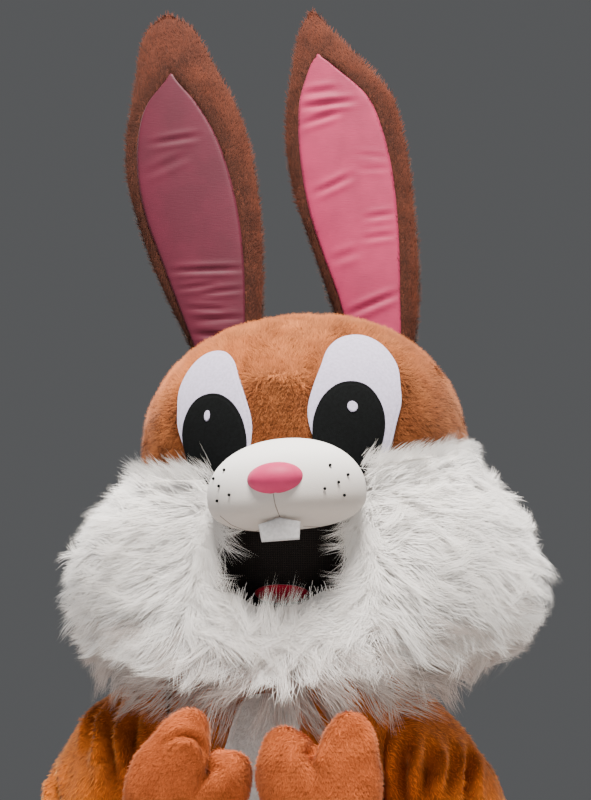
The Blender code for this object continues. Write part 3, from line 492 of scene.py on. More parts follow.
def torso(u, v):
    """The suit's body: u round it from the front, once; v from the neck down."""
    row = TORSO.at(v)
    turn = 2 * math.pi * u
    side, ahead = math.sin(turn), math.cos(turn)
    reach = oval(side, ahead, row.half_width, row.half_depth, TORSO_SQUARENESS)
    reach += FOLD_DEPTH * math.cos(8 * turn) * smooth((v - 0.25) / 0.3)
    return Vector((reach * side, row.middle - reach * ahead, row.height))


BELLY_OUTLINE = Sections("across height", (
    (0.000, -0.020), (0.048, -0.032), (0.070, -0.100), (0.098, -0.220), (0.126, -0.380),
    (0.126, -0.520), (0.074, -0.610), (0.000, -0.635)))
BELLY_SHIFT = -0.010
BELLY_PLUSH = 0.005
BELLY_MARGIN = 0.004
FLAP_THICK = 0.004
FLAP_TURN = 0.0125         # half the flap's width, as a share of the way round
FLAP_REACH = (0.03, 0.70)
TAIL_PLACE = 0.80          # where the tail stands, as a share of the way down the suit
TAIL_RADIUS = 0.065
TAIL_STAND = 0.030
TAIL_NAP = 0.010           # its fleece stands this far out of its ground


def torso_place(across, height):
    """The grid place on the suit's front at a distance from its centre line and a height."""
    low = last_short(lambda place: TORSO.at(place).height > height, 0.0, 1.0, 30)
    row = TORSO.at(low)
    return math.asin(max(-0.98, min(0.98, across / row.half_width))) / (2 * math.pi), low


# ---- Mitten and sleeve forms ---------------------------------------------------------------------

# The mitten's outline as seen from its back: turns in degrees from straight up, thumb positive.
CUFF_LENGTH = 0.150
CUFF_RADIUS = 0.053
CUFF_TURN = math.degrees(math.atan2(CUFF_RADIUS, CUFF_LENGTH))
CUFF_REACH = math.hypot(CUFF_RADIUS, CUFF_LENGTH)
MITTEN = Sections("turn radius", (
    (-180 + CUFF_TURN, CUFF_REACH), (-150, 0.112), (-130, 0.086), (-100, 0.077), (-75, 0.088),
    (-56, 0.096), (-40, 0.103), (-27, 0.100), (-14, 0.084), (-3, 0.066), (6, 0.086), (15, 0.112),
    (27, 0.120), (42, 0.113), (62, 0.095), (98, 0.084), (128, 0.084), (150, 0.111),
    (180 - CUFF_TURN, CUFF_REACH)))
CUFF_SHARE = 0.2           # the cuff's share of the way round
HAND_DEPTH = 0.042


def hand_frame(centre, lean, face_turn):
    """Where a mitten lies: its middle, and the directions to its fingertips, side and back."""
    up = Vector((math.sin(lean), 0.0, math.cos(lean)))
    back = Vector((math.sin(face_turn), -math.cos(face_turn), 0.0))
    back = (back - up * back.dot(up)).normalized()
    return SimpleNamespace(centre=Vector(centre), up=up, back=back, across=up.cross(back))


MITTENS = {
    "right": hand_frame((-0.078, -0.372, -0.134), math.radians(33.0), math.radians(33.0)),
    "left": hand_frame((0.101, -0.372, -0.130), 0.0, 0.0),
}


def mitten_outline(u):
    """A point of the outline, across and up; the last stretch of u crosses the cuff."""
    seam = 1 - CUFF_SHARE
    if u > seam:
        swing = math.pi * (u - seam) / CUFF_SHARE
        return Vector((CUFF_RADIUS * math.cos(swing), -CUFF_LENGTH))
    row = MITTEN.at(u / seam)
    turn = math.radians(row.turn)
    return Vector((row.radius * math.sin(turn), row.radius * math.cos(turn)))


def mitten_half(side, facing):
    """Half a mitten, like half a pillow: u round its outline, v from its middle to its seam."""
    hand = MITTENS[side]
    thumb = -1 if side == "right" else 1

    def form(u, v):
        edge = mitten_outline(u)
        out = math.sin(math.pi / 2 * v)
        arch = 0.0
        if u > 1 - CUFF_SHARE:
            arch = CUFF_RADIUS * math.sin(math.pi * (u - 1 + CUFF_SHARE) / CUFF_SHARE)
        height = math.sqrt(max(mix(HAND_DEPTH ** 2, arch ** 2, out ** 2), 0.0))
        flat = hand.across * (thumb * edge.x * out) + hand.up * (edge.y * out)
        return hand.centre + flat + hand.back * (facing * (height + SEAM_GAP / 2))
    return form


def cuff(side):
    """The last section of a sleeve, a seam gap below its mitten."""
    hand = MITTENS[side]
    return (*(hand.centre - hand.up * (CUFF_LENGTH + SEAM_GAP)), CUFF_RADIUS)


# Arms: the sleeve's middle and its radius from the armhole to the cuff.
ARM_COLUMNS = "x y z radius"
ARMS = {
    "right": Sections(ARM_COLUMNS, (
        (-0.120, 0.000, -0.080, 0.088),
        (-0.168, 0.000, -0.092, 0.103),
        (-0.212, -0.004, -0.122, 0.112),
        (-0.252, -0.014, -0.180, 0.113),
        (-0.288, -0.036, -0.255, 0.104),
        (-0.312, -0.078, -0.335, 0.102),
        (-0.296, -0.150, -0.392, 0.098),
        (-0.256, -0.235, -0.405, 0.088),
        (-0.222, -0.305, -0.380, 0.075),
        (-0.190, -0.352, -0.325, 0.062),
        cuff("right"),
    )),
    "left": Sections(ARM_COLUMNS, (
        (0.110, 0.000, -0.085, 0.080),
        (0.148, 0.000, -0.098, 0.092),
        (0.184, -0.004, -0.130, 0.099),
        (0.220, -0.014, -0.186, 0.099),
        (0.262, -0.036, -0.258, 0.092),
        (0.290, -0.078, -0.335, 0.092),
        (0.280, -0.150, -0.392, 0.092),
        (0.232, -0.235, -0.408, 0.086),
        (0.170, -0.312, -0.392, 0.074),
        (0.118, -0.358, -0.344, 0.062),
        cuff("left"),
    )),
}
SLEEVE_START = 0.08
ARM_FOLDS = 5
ARM_SAMPLES = 60


def arm_direction(side, v):
    """The way a sleeve runs at v; at the cuff it runs into the mitten."""
    if v > 1 - 1 / ARM_SAMPLES:
        return MITTENS[side].up
    ahead, behind = ARMS[side].at(v + 0.01), ARMS[side].at(max(v - 0.01, 0.0))
    return Vector((ahead.x - behind.x, ahead.y - behind.y, ahead.z - behind.z)).normalized()


def seam_directions(side):
    """The way from a sleeve's middle to its top seam, carried along it without a twist."""
    seam = Vector((-0.5 if side == "right" else 0.5, 0.0, 1.0))
    found = []
    for sample in range(ARM_SAMPLES + 1):
        along = arm_direction(side, sample / ARM_SAMPLES)
        seam = (seam - along * seam.dot(along)).normalized()
        found.append(seam)
    return found


ARM_SEAMS = {side: seam_directions(side) for side in ARMS}


def arm(side):
    """A sleeve: u round it, with its seams on top and underneath; v from shoulder to cuff."""
    def form(u, v):
        row = ARMS[side].at(v)
        along = arm_direction(side, v)
        place = min(max(v, 0.0), 1.0) * ARM_SAMPLES
        near = min(int(place), ARM_SAMPLES - 1)
        up = ARM_SEAMS[side][near].lerp(ARM_SEAMS[side][near + 1], place - near)
        up = (up - along * up.dot(along)).normalized()
        across = along.cross(up)
        turn = 2 * math.pi * u
        folds = FOLD_DEPTH * math.cos(ARM_FOLDS * turn) * math.sin(math.pi * min(v * 1.15, 1.0)) ** 0.7
        radius = row.radius + folds
        return Vector((row.x, row.y, row.z)) + (up * math.cos(turn) + across * math.sin(turn)) * radius
    return form


# ---- Leg and foot forms --------------------------------------------------------------------------

# Legs: the middle and radii of each section below the crotch, for the wearer's left leg.
LEG = Sections("height middle_x middle_y half_width half_depth roundness", (
    (CROTCH - SEAM_GAP, 0.124, 0.008, 0.124, 0.202, 0.0),
    (-0.820, 0.126, 0.006, 0.121, 0.176, 0.55),
    (-0.920, 0.127, 0.004, 0.118, 0.146, 1.0),
    (-1.040, 0.126, 0.006, 0.113, 0.128, 1.0),
    (-1.160, 0.125, 0.012, 0.108, 0.118, 1.0),
    (-1.270, 0.125, 0.022, 0.102, 0.108, 1.0),
    (LEG_HEM, 0.125, 0.030, 0.092, 0.092, 1.0),
))


LEG_SQUARENESS = 2.2
LEG_FOLD_DEPTH = 0.004


def leg(side):
    """A trouser leg: u round it from the outer side seam; v from crotch to hem."""
    def form(u, v):
        row = LEG.at(v)
        turn = 2 * math.pi * u
        out, ahead = math.cos(turn), math.sin(turn)
        round_reach = oval(out, ahead, row.half_width, row.half_depth, LEG_SQUARENESS)
        place = Vector((row.middle_x + round_reach * out, -round_reach * ahead))
        split = half_torso(out, ahead, row.half_width, row.half_depth)
        place = split.lerp(place, smooth(row.roundness))
        centre = Vector((row.middle_x, 0.0))
        spoke = place - centre
        folds = LEG_FOLD_DEPTH * math.cos(8 * turn) * math.sin(math.pi * v)
        place = centre + spoke * (1 + folds / spoke.length)
        sign = 1 if side == "left" else -1
        return Vector((sign * place.x, row.middle_y + place.y, row.height))
    return form


def half_torso(out, ahead, half_width, half_depth):
    """Half of the suit's section at the crotch, as seen from that half's middle."""
    def inside(reach):
        x, y = half_width + reach * out, reach * ahead
        size = (abs(x) / (2 * half_width)) ** TORSO_SQUARENESS + (abs(y) / half_depth) ** TORSO_SQUARENESS
        return size < 1 and x > SEAM_GAP
    reach = last_short(inside, 0.0, 0.6)
    return Vector((half_width + reach * out, -reach * ahead))


FOOT_X = 0.125
FOOT = Sections("height middle half_length half_width", (
    (FLOOR + SOLE + SEAM_GAP, -0.085, 0.180, 0.085),
    (-1.440, -0.085, 0.186, 0.090),
    (-1.415, -0.080, 0.178, 0.088),
    (-1.395, -0.058, 0.148, 0.083),
    (-1.378, -0.018, 0.112, 0.080),
    (-1.368, 0.018, 0.094, 0.084),
    (LEG_HEM - SEAM_GAP, 0.030, 0.092, 0.092),
))


def foot(side):
    """A foot cover: u round it from its toe; v from its sole to its ankle, where it is rounder."""
    def form(u, v):
        row = FOOT.at(v)
        turn = 2 * math.pi * u
        side_way, ahead = math.sin(turn), math.cos(turn)
        reach = oval(side_way, ahead, row.half_width, row.half_length, mix(2.5, 2.2, v))
        sign = 1 if side == "left" else -1
        return Vector((sign * (FOOT_X + reach * side_way), row.middle - reach * ahead, row.height))
    return form


# ---- Sampled surfaces ---------------------------------------------------------------------------

class Surface:
    """A form sampled on an even grid, with its outward normals."""

    def __init__(self, points, outward_hint=None):
        self.points = points
        self.steps = (points.shape[0] - 1, points.shape[1] - 1)
        self.closed = bool(np.allclose(points[0], points[-1], atol=1e-5))
        side = np.gradient(points, axis=0)
        if self.closed:
            side[0] = side[-1] = (points[1] - points[-2]) / 2
        rise = np.gradient(points, axis=1)
        normals = np.cross(rise, side)
        size = np.linalg.norm(normals, axis=2, keepdims=True)
        normals = normals / np.maximum(size, 1e-15)
        for row, near in ((0, 1), (-1, -2)):
            if np.ptp(points[:, row], axis=0).max() < 1e-5:
                normals[:, row] = unit(normals[:, near].mean(axis=0))
        spoke = points - points.mean(axis=0, keepdims=True)
        if outward_hint is not None:
            spoke = np.broadcast_to(np.array(outward_hint), points.shape)
        if np.sum(normals * spoke) < 0:
            normals = -normals
        self.normals = normals

    def at(self, u, v):
        """Points and normals at places from 0 to 1 each way."""
        x = np.clip(u, 0, 1) * self.steps[0]
        y = np.clip(v, 0, 1) * self.steps[1]
        i = np.minimum(x.astype(int), self.steps[0] - 1)
        j = np.minimum(y.astype(int), self.steps[1] - 1)
        a, b = (x - i)[..., None], (y - j)[..., None]

        def blend(grid):
            near = grid[i, j] * (1 - b) + grid[i, j + 1] * b
            far = grid[i + 1, j] * (1 - b) + grid[i + 1, j + 1] * b
            return near * (1 - a) + far * a
        return blend(self.points), unit(blend(self.normals))

    def moved(self, height):
        """The surface with each point moved out by its own height."""
        height = np.broadcast_to(height, self.points.shape[:2])
        hint = self.normals.mean(axis=(0, 1)) if not self.closed else None
        moved = Surface(self.points + self.normals * height[..., None], hint)
        if np.sum(moved.normals * self.normals) < 0:
            moved.normals = -moved.normals
        return moved

    def part(self, start, end):
        """A stretch of the surface across it, cut on its own grid lines."""
        first, last = round(start * self.steps[0]), round(end * self.steps[0])
        piece = Surface(self.points[first:last + 1])
        piece.normals = self.normals[first:last + 1]
        return piece

    def quads(self):
        """The corners of each cell, as places in the list of all points."""
        first = np.arange(self.steps[0])[:, None] * (self.steps[1] + 1) + np.arange(self.steps[1])
        row = self.steps[1] + 1
        return np.stack([first, first + row, first + row + 1, first + 1], axis=-1).reshape(-1, 4).tolist()

    def cells(self):
        """The area of each cell of the grid, and the place of its middle."""
        p = self.points
        cross = np.cross(p[1:, 1:] - p[:-1, :-1], p[1:, :-1] - p[:-1, 1:])
        middles = (p[1:, 1:] + p[:-1, :-1] + p[1:, :-1] + p[:-1, 1:]) / 4
        return np.linalg.norm(cross, axis=2) / 2, middles

    def cut(self):
        """The flat size of the cloth: its width, its length and its area."""
        across = np.linalg.norm(np.diff(self.points, axis=0), axis=2).sum(axis=0).max()
        spokes = np.linalg.norm(np.diff(self.points, axis=1), axis=2).sum(axis=1)
        along = spokes.max()
        if self.closed and np.ptp(self.points[:, 0], axis=0).max() < 1e-5:
            spread = spokes[:-1] + np.roll(spokes[:-1], self.steps[0] // 2)
            along = spread.max()
            across = np.roll(spread, self.steps[0] // 4)[spread.argmax()]
        across, along = max(float(across), 0.010), max(float(along), 0.010)
        area = self.cells()[0].sum()
        return (across, along), float(min(max(area, 0.31 * across * along), across * along))

    def scatter(self, count, rng, weight=None):
        """Places spread evenly by area, or by area times a weight."""
        areas, middles = self.cells()
        if weight is not None:
            areas = areas * weight(middles)
        totals = np.cumsum(areas.ravel())
        picks = (np.arange(count) + rng.random(count)) / count * totals[-1]
        cell = np.minimum(np.searchsorted(totals, picks), totals.size - 1)
        i, j = np.divmod(cell, self.steps[1])
        return (i + rng.random(count)) / self.steps[0], (j + rng.random(count)) / self.steps[1]


def unit(vectors):
    return vectors / np.maximum(np.linalg.norm(vectors, axis=-1, keepdims=True), 1e-12)


def tangent(direction, normals):
    """A direction laid flat on a surface."""
    flat = direction - normals * np.sum(direction * normals, axis=-1, keepdims=True)
    return unit(flat)


def turned(vectors, normals, angle):
    """Tangent vectors turned about the normals."""
    return vectors * np.cos(angle)[..., None] + np.cross(normals, vectors) * np.sin(angle)[..., None]


def sample(form, steps, across=(0.0, 1.0), along=(0.0, 1.0), hint=None):
    us, vs = np.linspace(*across, steps[0] + 1), np.linspace(*along, steps[1] + 1)
    return Surface(np.array([[form(u, v)[:] for v in vs] for u in us]), hint)


def ease(share):
    share = np.clip(share, 0.0, 1.0)
    return share * share * (3 - 2 * share)


RIPPLES = 8                # waves that add up to an even, unpatterned noise


def ripple(points, size, seed):
    """Smooth, repeatable noise of about -1 to 1, with features of about `size`."""
    rng = np.random.default_rng(seed)
    total = 0.0
    for _ in range(RIPPLES):
        direction = unit(rng.normal(size=3))
        length = size * rng.uniform(0.7, 1.5)
        total = total + np.sin(points @ direction * (2 * math.pi / length) + rng.uniform(0, 2 * math.pi))
    return total / math.sqrt(RIPPLES / 2) / 1.6


def lock_centres(points, size):
    """The middle of the lock of pile that each point belongs to."""
    cell = np.floor(points / size)
    turn = np.sin(cell @ np.array((12.9898, 78.233, 37.719))) * 43758.5453
    jitter = np.stack([np.modf(np.abs(turn * k))[0] for k in (1.0, 1.7, 2.3)], axis=-1)
    return (cell + 0.15 + 0.7 * jitter) * size


# Folds: each is a trough between two places of a surface, with a soft ridge along both sides.
FOLD_COLUMNS = "start_u start_v end_u end_v bow width depth ridge"


def folded(surface, rows, fine=0.0, seed=0):
    """The surface with its listed folds, and an uneven surface between them."""
    height = np.zeros(surface.points.shape[:2])
    for fold in named_rows(FOLD_COLUMNS, rows):
        share = np.linspace(0, 1, 33)
        u = fold.start_u + (fold.end_u - fold.start_u) * share + fold.bow * np.sin(math.pi * share)
        v = fold.start_v + (fold.end_v - fold.start_v) * share
        line, _ = surface.at(u % 1.0 if surface.closed else u, v)
        gaps = np.linalg.norm(surface.points[:, :, None] - line, axis=3)
        near = gaps.argmin(axis=2)
        gap = gaps.min(axis=2) / fold.width
        fade = np.sin(math.pi * np.clip(near / 32, 0.02, 0.98)) ** 0.7
        height -= fold.depth * fade * np.exp(-gap ** 2)
        height += fold.ridge * fade * np.exp(-(gap - 1.9) ** 2)
    if fine:
        height += fine * ripple(surface.points.reshape(-1, 3), 0.11, seed).reshape(height.shape)
    return surface.moved(height)


def painted_fold_light_and_shade(plain, creased, depth):
    """A tone for the pile: painted shade down in the folds, painted light on the ridges between them."""
    height = np.sum((creased.points - plain.points) * plain.normals, axis=2).ravel()
    tree = KDTree(height.size)
    for number, point in enumerate(creased.points.reshape(-1, 3)):
        tree.insert(point, number)
    tree.balance()

    def tone(points):
        near = np.array([tree.find(point)[1] for point in points])
        return np.clip(height[near] / depth, -1.0, 0.9) * 0.42
    return tone


# ---- Meshes -------------------------------------------------------------------------------------

def riding(name, data, material):
    """An object of finished mesh data, which rides the costume's only body."""
    data.materials.append(material)
    piece = bpy.data.objects.new(name, data)
    bpy.context.scene.collection.objects.link(piece)
    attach(piece, BODY)
    return piece


def piece_from(name, mesh, material):
    """Make an object of a finished bmesh, with its normals outward."""
    bmesh.ops.recalc_face_normals(mesh, faces=mesh.faces)
    data = bpy.data.meshes.new(name)
    mesh.to_mesh(data)
    mesh.free()
    data.shade_smooth()
    return riding(name, data, material)


def sheet_of(surface, inside=None):
    """An open grid of faces on a surface, without the faces that `inside` names."""
    mesh = bmesh.new()
    bmesh.ops.create_grid(mesh, x_segments=surface.steps[0], y_segments=surface.steps[1], size=0.5)
    column = mesh.verts.layers.int.new("column")
    row = mesh.verts.layers.int.new("row")
    for vert in mesh.verts:
        vert[column] = round((vert.co.x + 0.5) * surface.steps[0])
        vert[row] = round((vert.co.y + 0.5) * surface.steps[1])
        vert.co = surface.points[vert[column], vert[row]]
    if inside is not None:
        middles = np.array([face.calc_center_median()[:] for face in mesh.faces])
        hidden = inside(middles)
        faces = [face for face, gone in zip(mesh.faces, hidden) if gone]
        bmesh.ops.delete(mesh, geom=faces, context="FACES")
    bmesh.ops.remove_doubles(mesh, verts=mesh.verts, dist=0.00002)
    return mesh, column, row


def cloth(name, surface, thick, material, inside=None):
    """A thin closed shell whose face is the surface and whose wall lies behind it."""
    mesh, column, row = sheet_of(surface, inside)
    back = surface.points - surface.normals * thick
    grown = bmesh.ops.extrude_face_region(mesh, geom=mesh.faces[:])["geom"]
    for vert in grown:
        if isinstance(vert, bmesh.types.BMVert):
            vert.co = back[vert[column], vert[row]]
    bmesh.ops.remove_doubles(mesh, verts=mesh.verts, dist=0.00002)
    loose = [edge for edge in mesh.edges if not edge.link_faces]
    bmesh.ops.delete(mesh, geom=loose, context="EDGES")
    return piece_from(name, mesh, material)


def padded_piece(name, surface, material, node):
    """A stuffed piece: its face closed at the open end."""
    mesh, _, _ = sheet_of(surface)
    bmesh.ops.holes_fill(mesh, edges=[edge for edge in mesh.edges if edge.is_boundary], sides=0)
    piece = piece_from(name, mesh, material)
    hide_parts(node)


def sewn(surface, nodes):
    """Hide the solids that a shell stands for; its flat size and area are worked out but not used."""
    size, area = surface.cut()
    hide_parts(*nodes)


# ---- Pile and fur -------------------------------------------------------------------------------

STRAND_MAP = "OFBake"      # how light a strand is, across, and the way from its root to its tip, up
STRIP = 1 / 256            # a strand's width on its map
PILE_SOFTNESS = 0.8
FUR_SOFTNESS = 0.92
TONES = (0.02, 0.98)       # a strand's map stays this far inside its ends


def strands(name, paths, normals, widths, tones, material, softness):
    """A joined mesh of flat tapering strands along paths of (strand, level, xyz).

    Softness is how far a strand is shaded like the cloth that it grows from.
    """
    count, levels, _ = paths.shape
    rows = levels - 1
    along = np.linspace(0, 1, levels)
    run = np.gradient(paths, axis=1)
    upright = np.broadcast_to(normals[:, None, :], paths.shape)
    side = np.cross(run, upright)
    weak = np.linalg.norm(side, axis=2) < 0.12 * np.linalg.norm(run, axis=2)
    side[weak] = np.cross(run[weak], np.roll(upright, 1, axis=2)[weak])
    side = unit(side)
    taper = (0.75 + 0.25 * np.minimum(along / 0.3, 1)) * (1 - along ** 2.2)
    half = side * (widths[:, None] * taper[None, :] / 2)[..., None]
    face = unit(np.cross(side, run))
    face[np.sum(face * upright, axis=2) < 0] *= -1

    points = np.empty((count, 2 * rows + 1, 3))
    points[:, 0:2 * rows:2] = (paths - half)[:, :rows]
    points[:, 1:2 * rows:2] = (paths + half)[:, :rows]
    points[:, 2 * rows] = paths[:, rows]
    shade = np.empty_like(points)
    blend = unit(face * (1 - softness) + upright * softness)
    shade[:, 0:2 * rows:2] = shade[:, 1:2 * rows:2] = blend[:, :rows]
    shade[:, 2 * rows] = blend[:, rows]

    corners, starts, tone_side, tone_level = [], [], [], []
    for k in range(rows - 1):
        starts.append(len(corners))
        corners += [2 * k, 2 * k + 1, 2 * k + 3, 2 * k + 2]
        tone_side += [0, 1, 1, 0]
        tone_level += [along[k], along[k], along[k + 1], along[k + 1]]
    starts.append(len(corners))
    corners += [2 * rows - 2, 2 * rows - 1, 2 * rows]
    tone_side += [0, 1, 0.5]
    tone_level += [along[rows - 1], along[rows - 1], 1.0]

    each = np.arange(count)[:, None]
    data = bpy.data.meshes.new(name)
    data.vertices.add(count * (2 * rows + 1))
    data.vertices.foreach_set("co", points.ravel())
    data.loops.add(count * len(corners))
    data.loops.foreach_set("vertex_index", (np.array(corners) + each * (2 * rows + 1)).ravel())
    data.polygons.add(count * len(starts))
    data.polygons.foreach_set("loop_start", (np.array(starts) + each * len(corners)).ravel())
    data.update(calc_edges=True)
    places = np.empty((count, len(corners), 2))
    places[:, :, 0] = tones[:, None] * (1 - STRIP) + np.array(tone_side) * STRIP
    places[:, :, 1] = np.array(tone_level)
    data.uv_layers.new(name=STRAND_MAP).data.foreach_set("uv", places.ravel())
    data.polygons.foreach_set("use_smooth", np.ones(count * len(starts), dtype=bool))
    data.normals_split_custom_set_from_vertices(shade.reshape(-1, 3))
    return riding(name, data, material)


def pile(name, surface, count, kind, look, flow, seed, keep=None, weight=None, paler=None):
    """The short pile of a plush: leaning strands, drawn together in small locks."""
    rng = np.random.default_rng(seed)
    u, v = surface.scatter(count, rng, weight)
    roots, normals = surface.at(u, v)
    if keep is not None:
        kept = keep(roots)
        roots, normals = roots[kept], normals[kept]
    amount = len(roots)
    way = tangent(flow(roots), normals)
    swirl = look.swirl * ripple(roots, look.swirl_size, seed + 1) + rng.normal(0, 0.35, amount)
    way = turned(way, normals, swirl)
    lean = look.lean + rng.normal(0, 0.12, amount) + 0.15 * ripple(roots, look.swirl_size / 2, seed + 2)
    length = look.length * rng.uniform(0.75, 1.15, amount)
    centres = lock_centres(roots, look.lock)
    pull = (centres - roots) - normals * np.sum((centres - roots) * normals, axis=1, keepdims=True)
    share = np.linspace(0, 1, look.levels)
    out = (np.cos(lean) * length)[:, None] * (1 - (1 - share) ** 1.7)
    over = (np.sin(lean) * length)[:, None] * share ** 1.4
    paths = (roots[:, None] + normals[:, None] * out[..., None] + way[:, None] * over[..., None]
             + pull[:, None] * (look.gather * share ** 1.5)[None, :, None])
    streaks = centres - 0.75 * way * np.sum(centres * way, axis=1, keepdims=True)
    tones = 0.5 + 0.20 * ripple(streaks, look.swirl_size / 3, seed + 3) + rng.normal(0, 0.09, amount)
    tones = np.clip(tones + (paler(roots) if paler else 0.0), *TONES)
    widths = look.width * rng.uniform(0.8, 1.2, amount)
    strands(name, paths, normals, widths, tones, kind.pile(), PILE_SOFTNESS)


def plush_panel(part, surface, kind, count, look, flow, seed, held="hung", inside=None, **pile_rules):
    """One panel of a kind of plush: its woven ground and its pile; the panel's solid is hidden."""
    shell = cloth("cloth_" + part, surface, BACKING, kind.ground(), inside)
    sewn(surface, [part])
    pile("pile_" + part, surface, count, kind, look, flow, seed, **pile_rules)


def downward(points):
    return np.broadcast_to(np.array((0.0, 0.0, -1.0)), points.shape)


# ---- Materials ----------------------------------------------------------------------------------

def linear(text):
    """An sRGB hex colour as linear red, green and blue."""
    values = [int(text[place:place + 2], 16) / 255 for place in (1, 3, 5)]
    return tuple(v / 12.92 if v <= 0.04045 else ((v + 0.055) / 1.055) ** 2.4 for v in values)


def add(tree, kind, settings=None, links=None):
    """Add one shader node with its settings and links; stops are a colour ramp's."""
    node = tree.nodes.new(kind)
    for key, value in (settings or {}).items():
        if key == "stops":
            elements = node.color_ramp.elements
            for place, colour in value[2:]:
                elements.new(place)
            for element, (place, colour) in zip(elements, sorted(value)):
                element.position = place
                element.color = (*colour, 1.0)
        elif isinstance(key, int) or key in node.inputs:
            node.inputs[key].default_value = value
        else:
            setattr(node, key, value)
    for key, source in (links or {}).items():
        tree.links.new(source, node.inputs[key])
    return node


def shades(colour, *steps):
    """Lighter and darker versions of a colour."""
    return [tuple(min(part * step, 1.0) for part in colour) for step in steps]


def new_finish(name, roughness, sheen=0.0, sheen_tint=(1, 1, 1), specular=0.2):
    """An empty material with its shader, whose even values are set on the shader's own sockets."""
    made = bpy.data.materials.new(name)
    made.use_nodes = True
    tree = made.node_tree
    shader = tree.nodes["Principled BSDF"]
    shader.inputs["Roughness"].default_value = roughness
    shader.inputs["Specular IOR Level"].default_value = specular
    shader.inputs["Sheen Weight"].default_value = sheen
    shader.inputs["Sheen Roughness"].default_value = 0.5
    shader.inputs["Sheen Tint"].default_value = (*sheen_tint, 1.0)
    return made, tree, shader


def on_object(tree):
    """Places in metres, which a pattern is drawn over."""
    return add(tree, "ShaderNodeTexCoord").outputs["Object"]


def coloured(tree, shader, colour):
    tree.links.new(colour, shader.inputs["Base Color"])


def raised(tree, shader, height, strength, distance):
    """Lift the surface by a pattern's height, at most `distance` metres."""
    bump = add(tree, "ShaderNodeBump", {"Strength": strength, "Distance": distance}, {"Height": height})
    tree.links.new(bump.outputs[0], shader.inputs["Normal"])


def blotches(tree, dark, light, size, detail=3.0):
    """Soft patches of two colours, about `size` metres across."""
    noise = add(tree, "ShaderNodeTexNoise", {"Scale": 1 / size, "Detail": detail, "Roughness": 0.55},
                {"Vector": on_object(tree)})
    ramp = add(tree, "ShaderNodeValToRGB", {"stops": [(0.38, dark), (0.62, light)]},
               {"Fac": noise.outputs[0]})
    return ramp.outputs["Color"]


def strand_map(tree):
    """A strand's tone, and the way along it from root to tip."""
    place = add(tree, "ShaderNodeUVMap", {"uv_map": STRAND_MAP})
    split = add(tree, "ShaderNodeSeparateXYZ", links={0: place.outputs[0]})
    return split.outputs["X"], split.outputs["Y"]


def multiplied(tree, colour, by):
    mixed = add(tree, "ShaderNodeMix", {"data_type": "RGBA", "blend_type": "MULTIPLY", 0: 1.0},
                {6: colour, 7: by})
    return mixed.outputs[2]


def pile_finish(name, dye, root, tip, darkest, lightest, dark_patch, patch, sheen, sheen_tint):
    """Strands: dark at the root as painted shade between them, lighter at the tip, each its own tone, in
    soft patches.

    Root, tip, darkest, lightest and dark_patch are shares of the dye; patch is in metres.
    """
    made, tree, shader = new_finish(name, 0.85, sheen, sheen_tint)
    tone_place, along_place = strand_map(tree)
    along = add(tree, "ShaderNodeValToRGB", {"stops": [
        (0.0, shades(dye, root)[0]), (0.45, tuple(dye)), (1.0, shades(dye, tip)[0])]},
        {"Fac": along_place})
    tone = add(tree, "ShaderNodeMapRange", {"To Min": darkest, "To Max": lightest}, {"Value": tone_place})
    toned = add(tree, "ShaderNodeVectorMath", {"operation": "SCALE"},
                {0: along.outputs["Color"], "Scale": tone.outputs[0]})
    patches = blotches(tree, dark_patch, (1.0, 1.0, 1.0), patch)
    coloured(tree, shader, multiplied(tree, toned.outputs[0], patches))
    return made


def backing_finish(name, dye, shade, nap=0.0022, depth=0.6, spread=(0.72, 1.12)):
    """The ground of a plush between its strands: matt and pitted like a dense nap, its dye darkened by
    `shade` as painted shade under the strands.
    """
    made, tree, shader = new_finish(name, 0.9, 0.08)
    dark, light = shades(shades(dye, shade)[0], *spread)
    coloured(tree, shader, blotches(tree, dark, light, 0.018, 5.0))
    grain = add(tree, "ShaderNodeTexNoise", {"Scale": 1 / nap, "Detail": 2.0}, {"Vector": on_object(tree)})
    raised(tree, shader, grain.outputs[0], depth, 0.002)
    return made


# ---- Finishes -----------------------------------------------------------------------------------

def colours():
    return bpy.context.scene.rabbit_colours


def plush(name, dye, slot, pile_values, ground_values):
    """A plush: its slot, and the finishes of its pile and its ground, made when first wanted."""
    @functools.cache
    def pile_made():
        return pile_finish(name + " pile", getattr(colours(), dye), *pile_values)

    @functools.cache
    def ground_made():
        return backing_finish(name + " ground", getattr(colours(), dye), *ground_values)
    return SimpleNamespace(slot=slot, pile=pile_made, ground=ground_made)


# Brown acrylic plush: matt locks with light tips over dark roots and a ground that shows dark, both
# painted shade between the strands.
BROWN_PLUSH = plush("brown plush", "brown", "brown_plush", (
    0.62, 1.42, 0.50, 1.34, (0.82, 0.74, 0.67), 0.045, 0.08, (1.0, 0.8, 0.6)), (0.92,))
# The ears' plush, brushed flat, which looks darker than the head's.
EAR_PLUSH = plush("ear plush", "ear", "brown_plush", (
    0.60, 1.45, 0.45, 1.75, (0.84, 0.78, 0.76), 0.035, 0.08, (1.0, 0.8, 0.6)), (0.85,))
# Golden brown velour plush: shorter and smoother, with a soft pale sheen over a close ground.
GOLDEN_PLUSH = plush("golden plush", "gold", "golden_plush", (
    0.55, 1.60, 0.65, 1.40, (0.80, 0.76, 0.72), 0.050, 0.45, (1.0, 0.66, 0.26)), (0.62,))
# Short orange-brown plush: a close nap whose edges catch the light.
MITTEN_PLUSH = plush("mitten plush", "mitten", "brown_plush", (
    0.65, 1.40, 0.70, 1.32, (0.80, 0.76, 0.72), 0.040, 0.25, (1.0, 0.75, 0.55)), (0.85,))
# Short white fleece: soft and even, with hardly any shadow between strands.
FLEECE = plush("white fleece", "fleece", "white_plush", (
    0.80, 1.08, 0.93, 1.04, (0.93, 0.93, 0.94), 0.030, 0.20, (1.0, 1.0, 1.0)),
    (0.94, 0.0016, 0.15, (0.975, 1.015)))

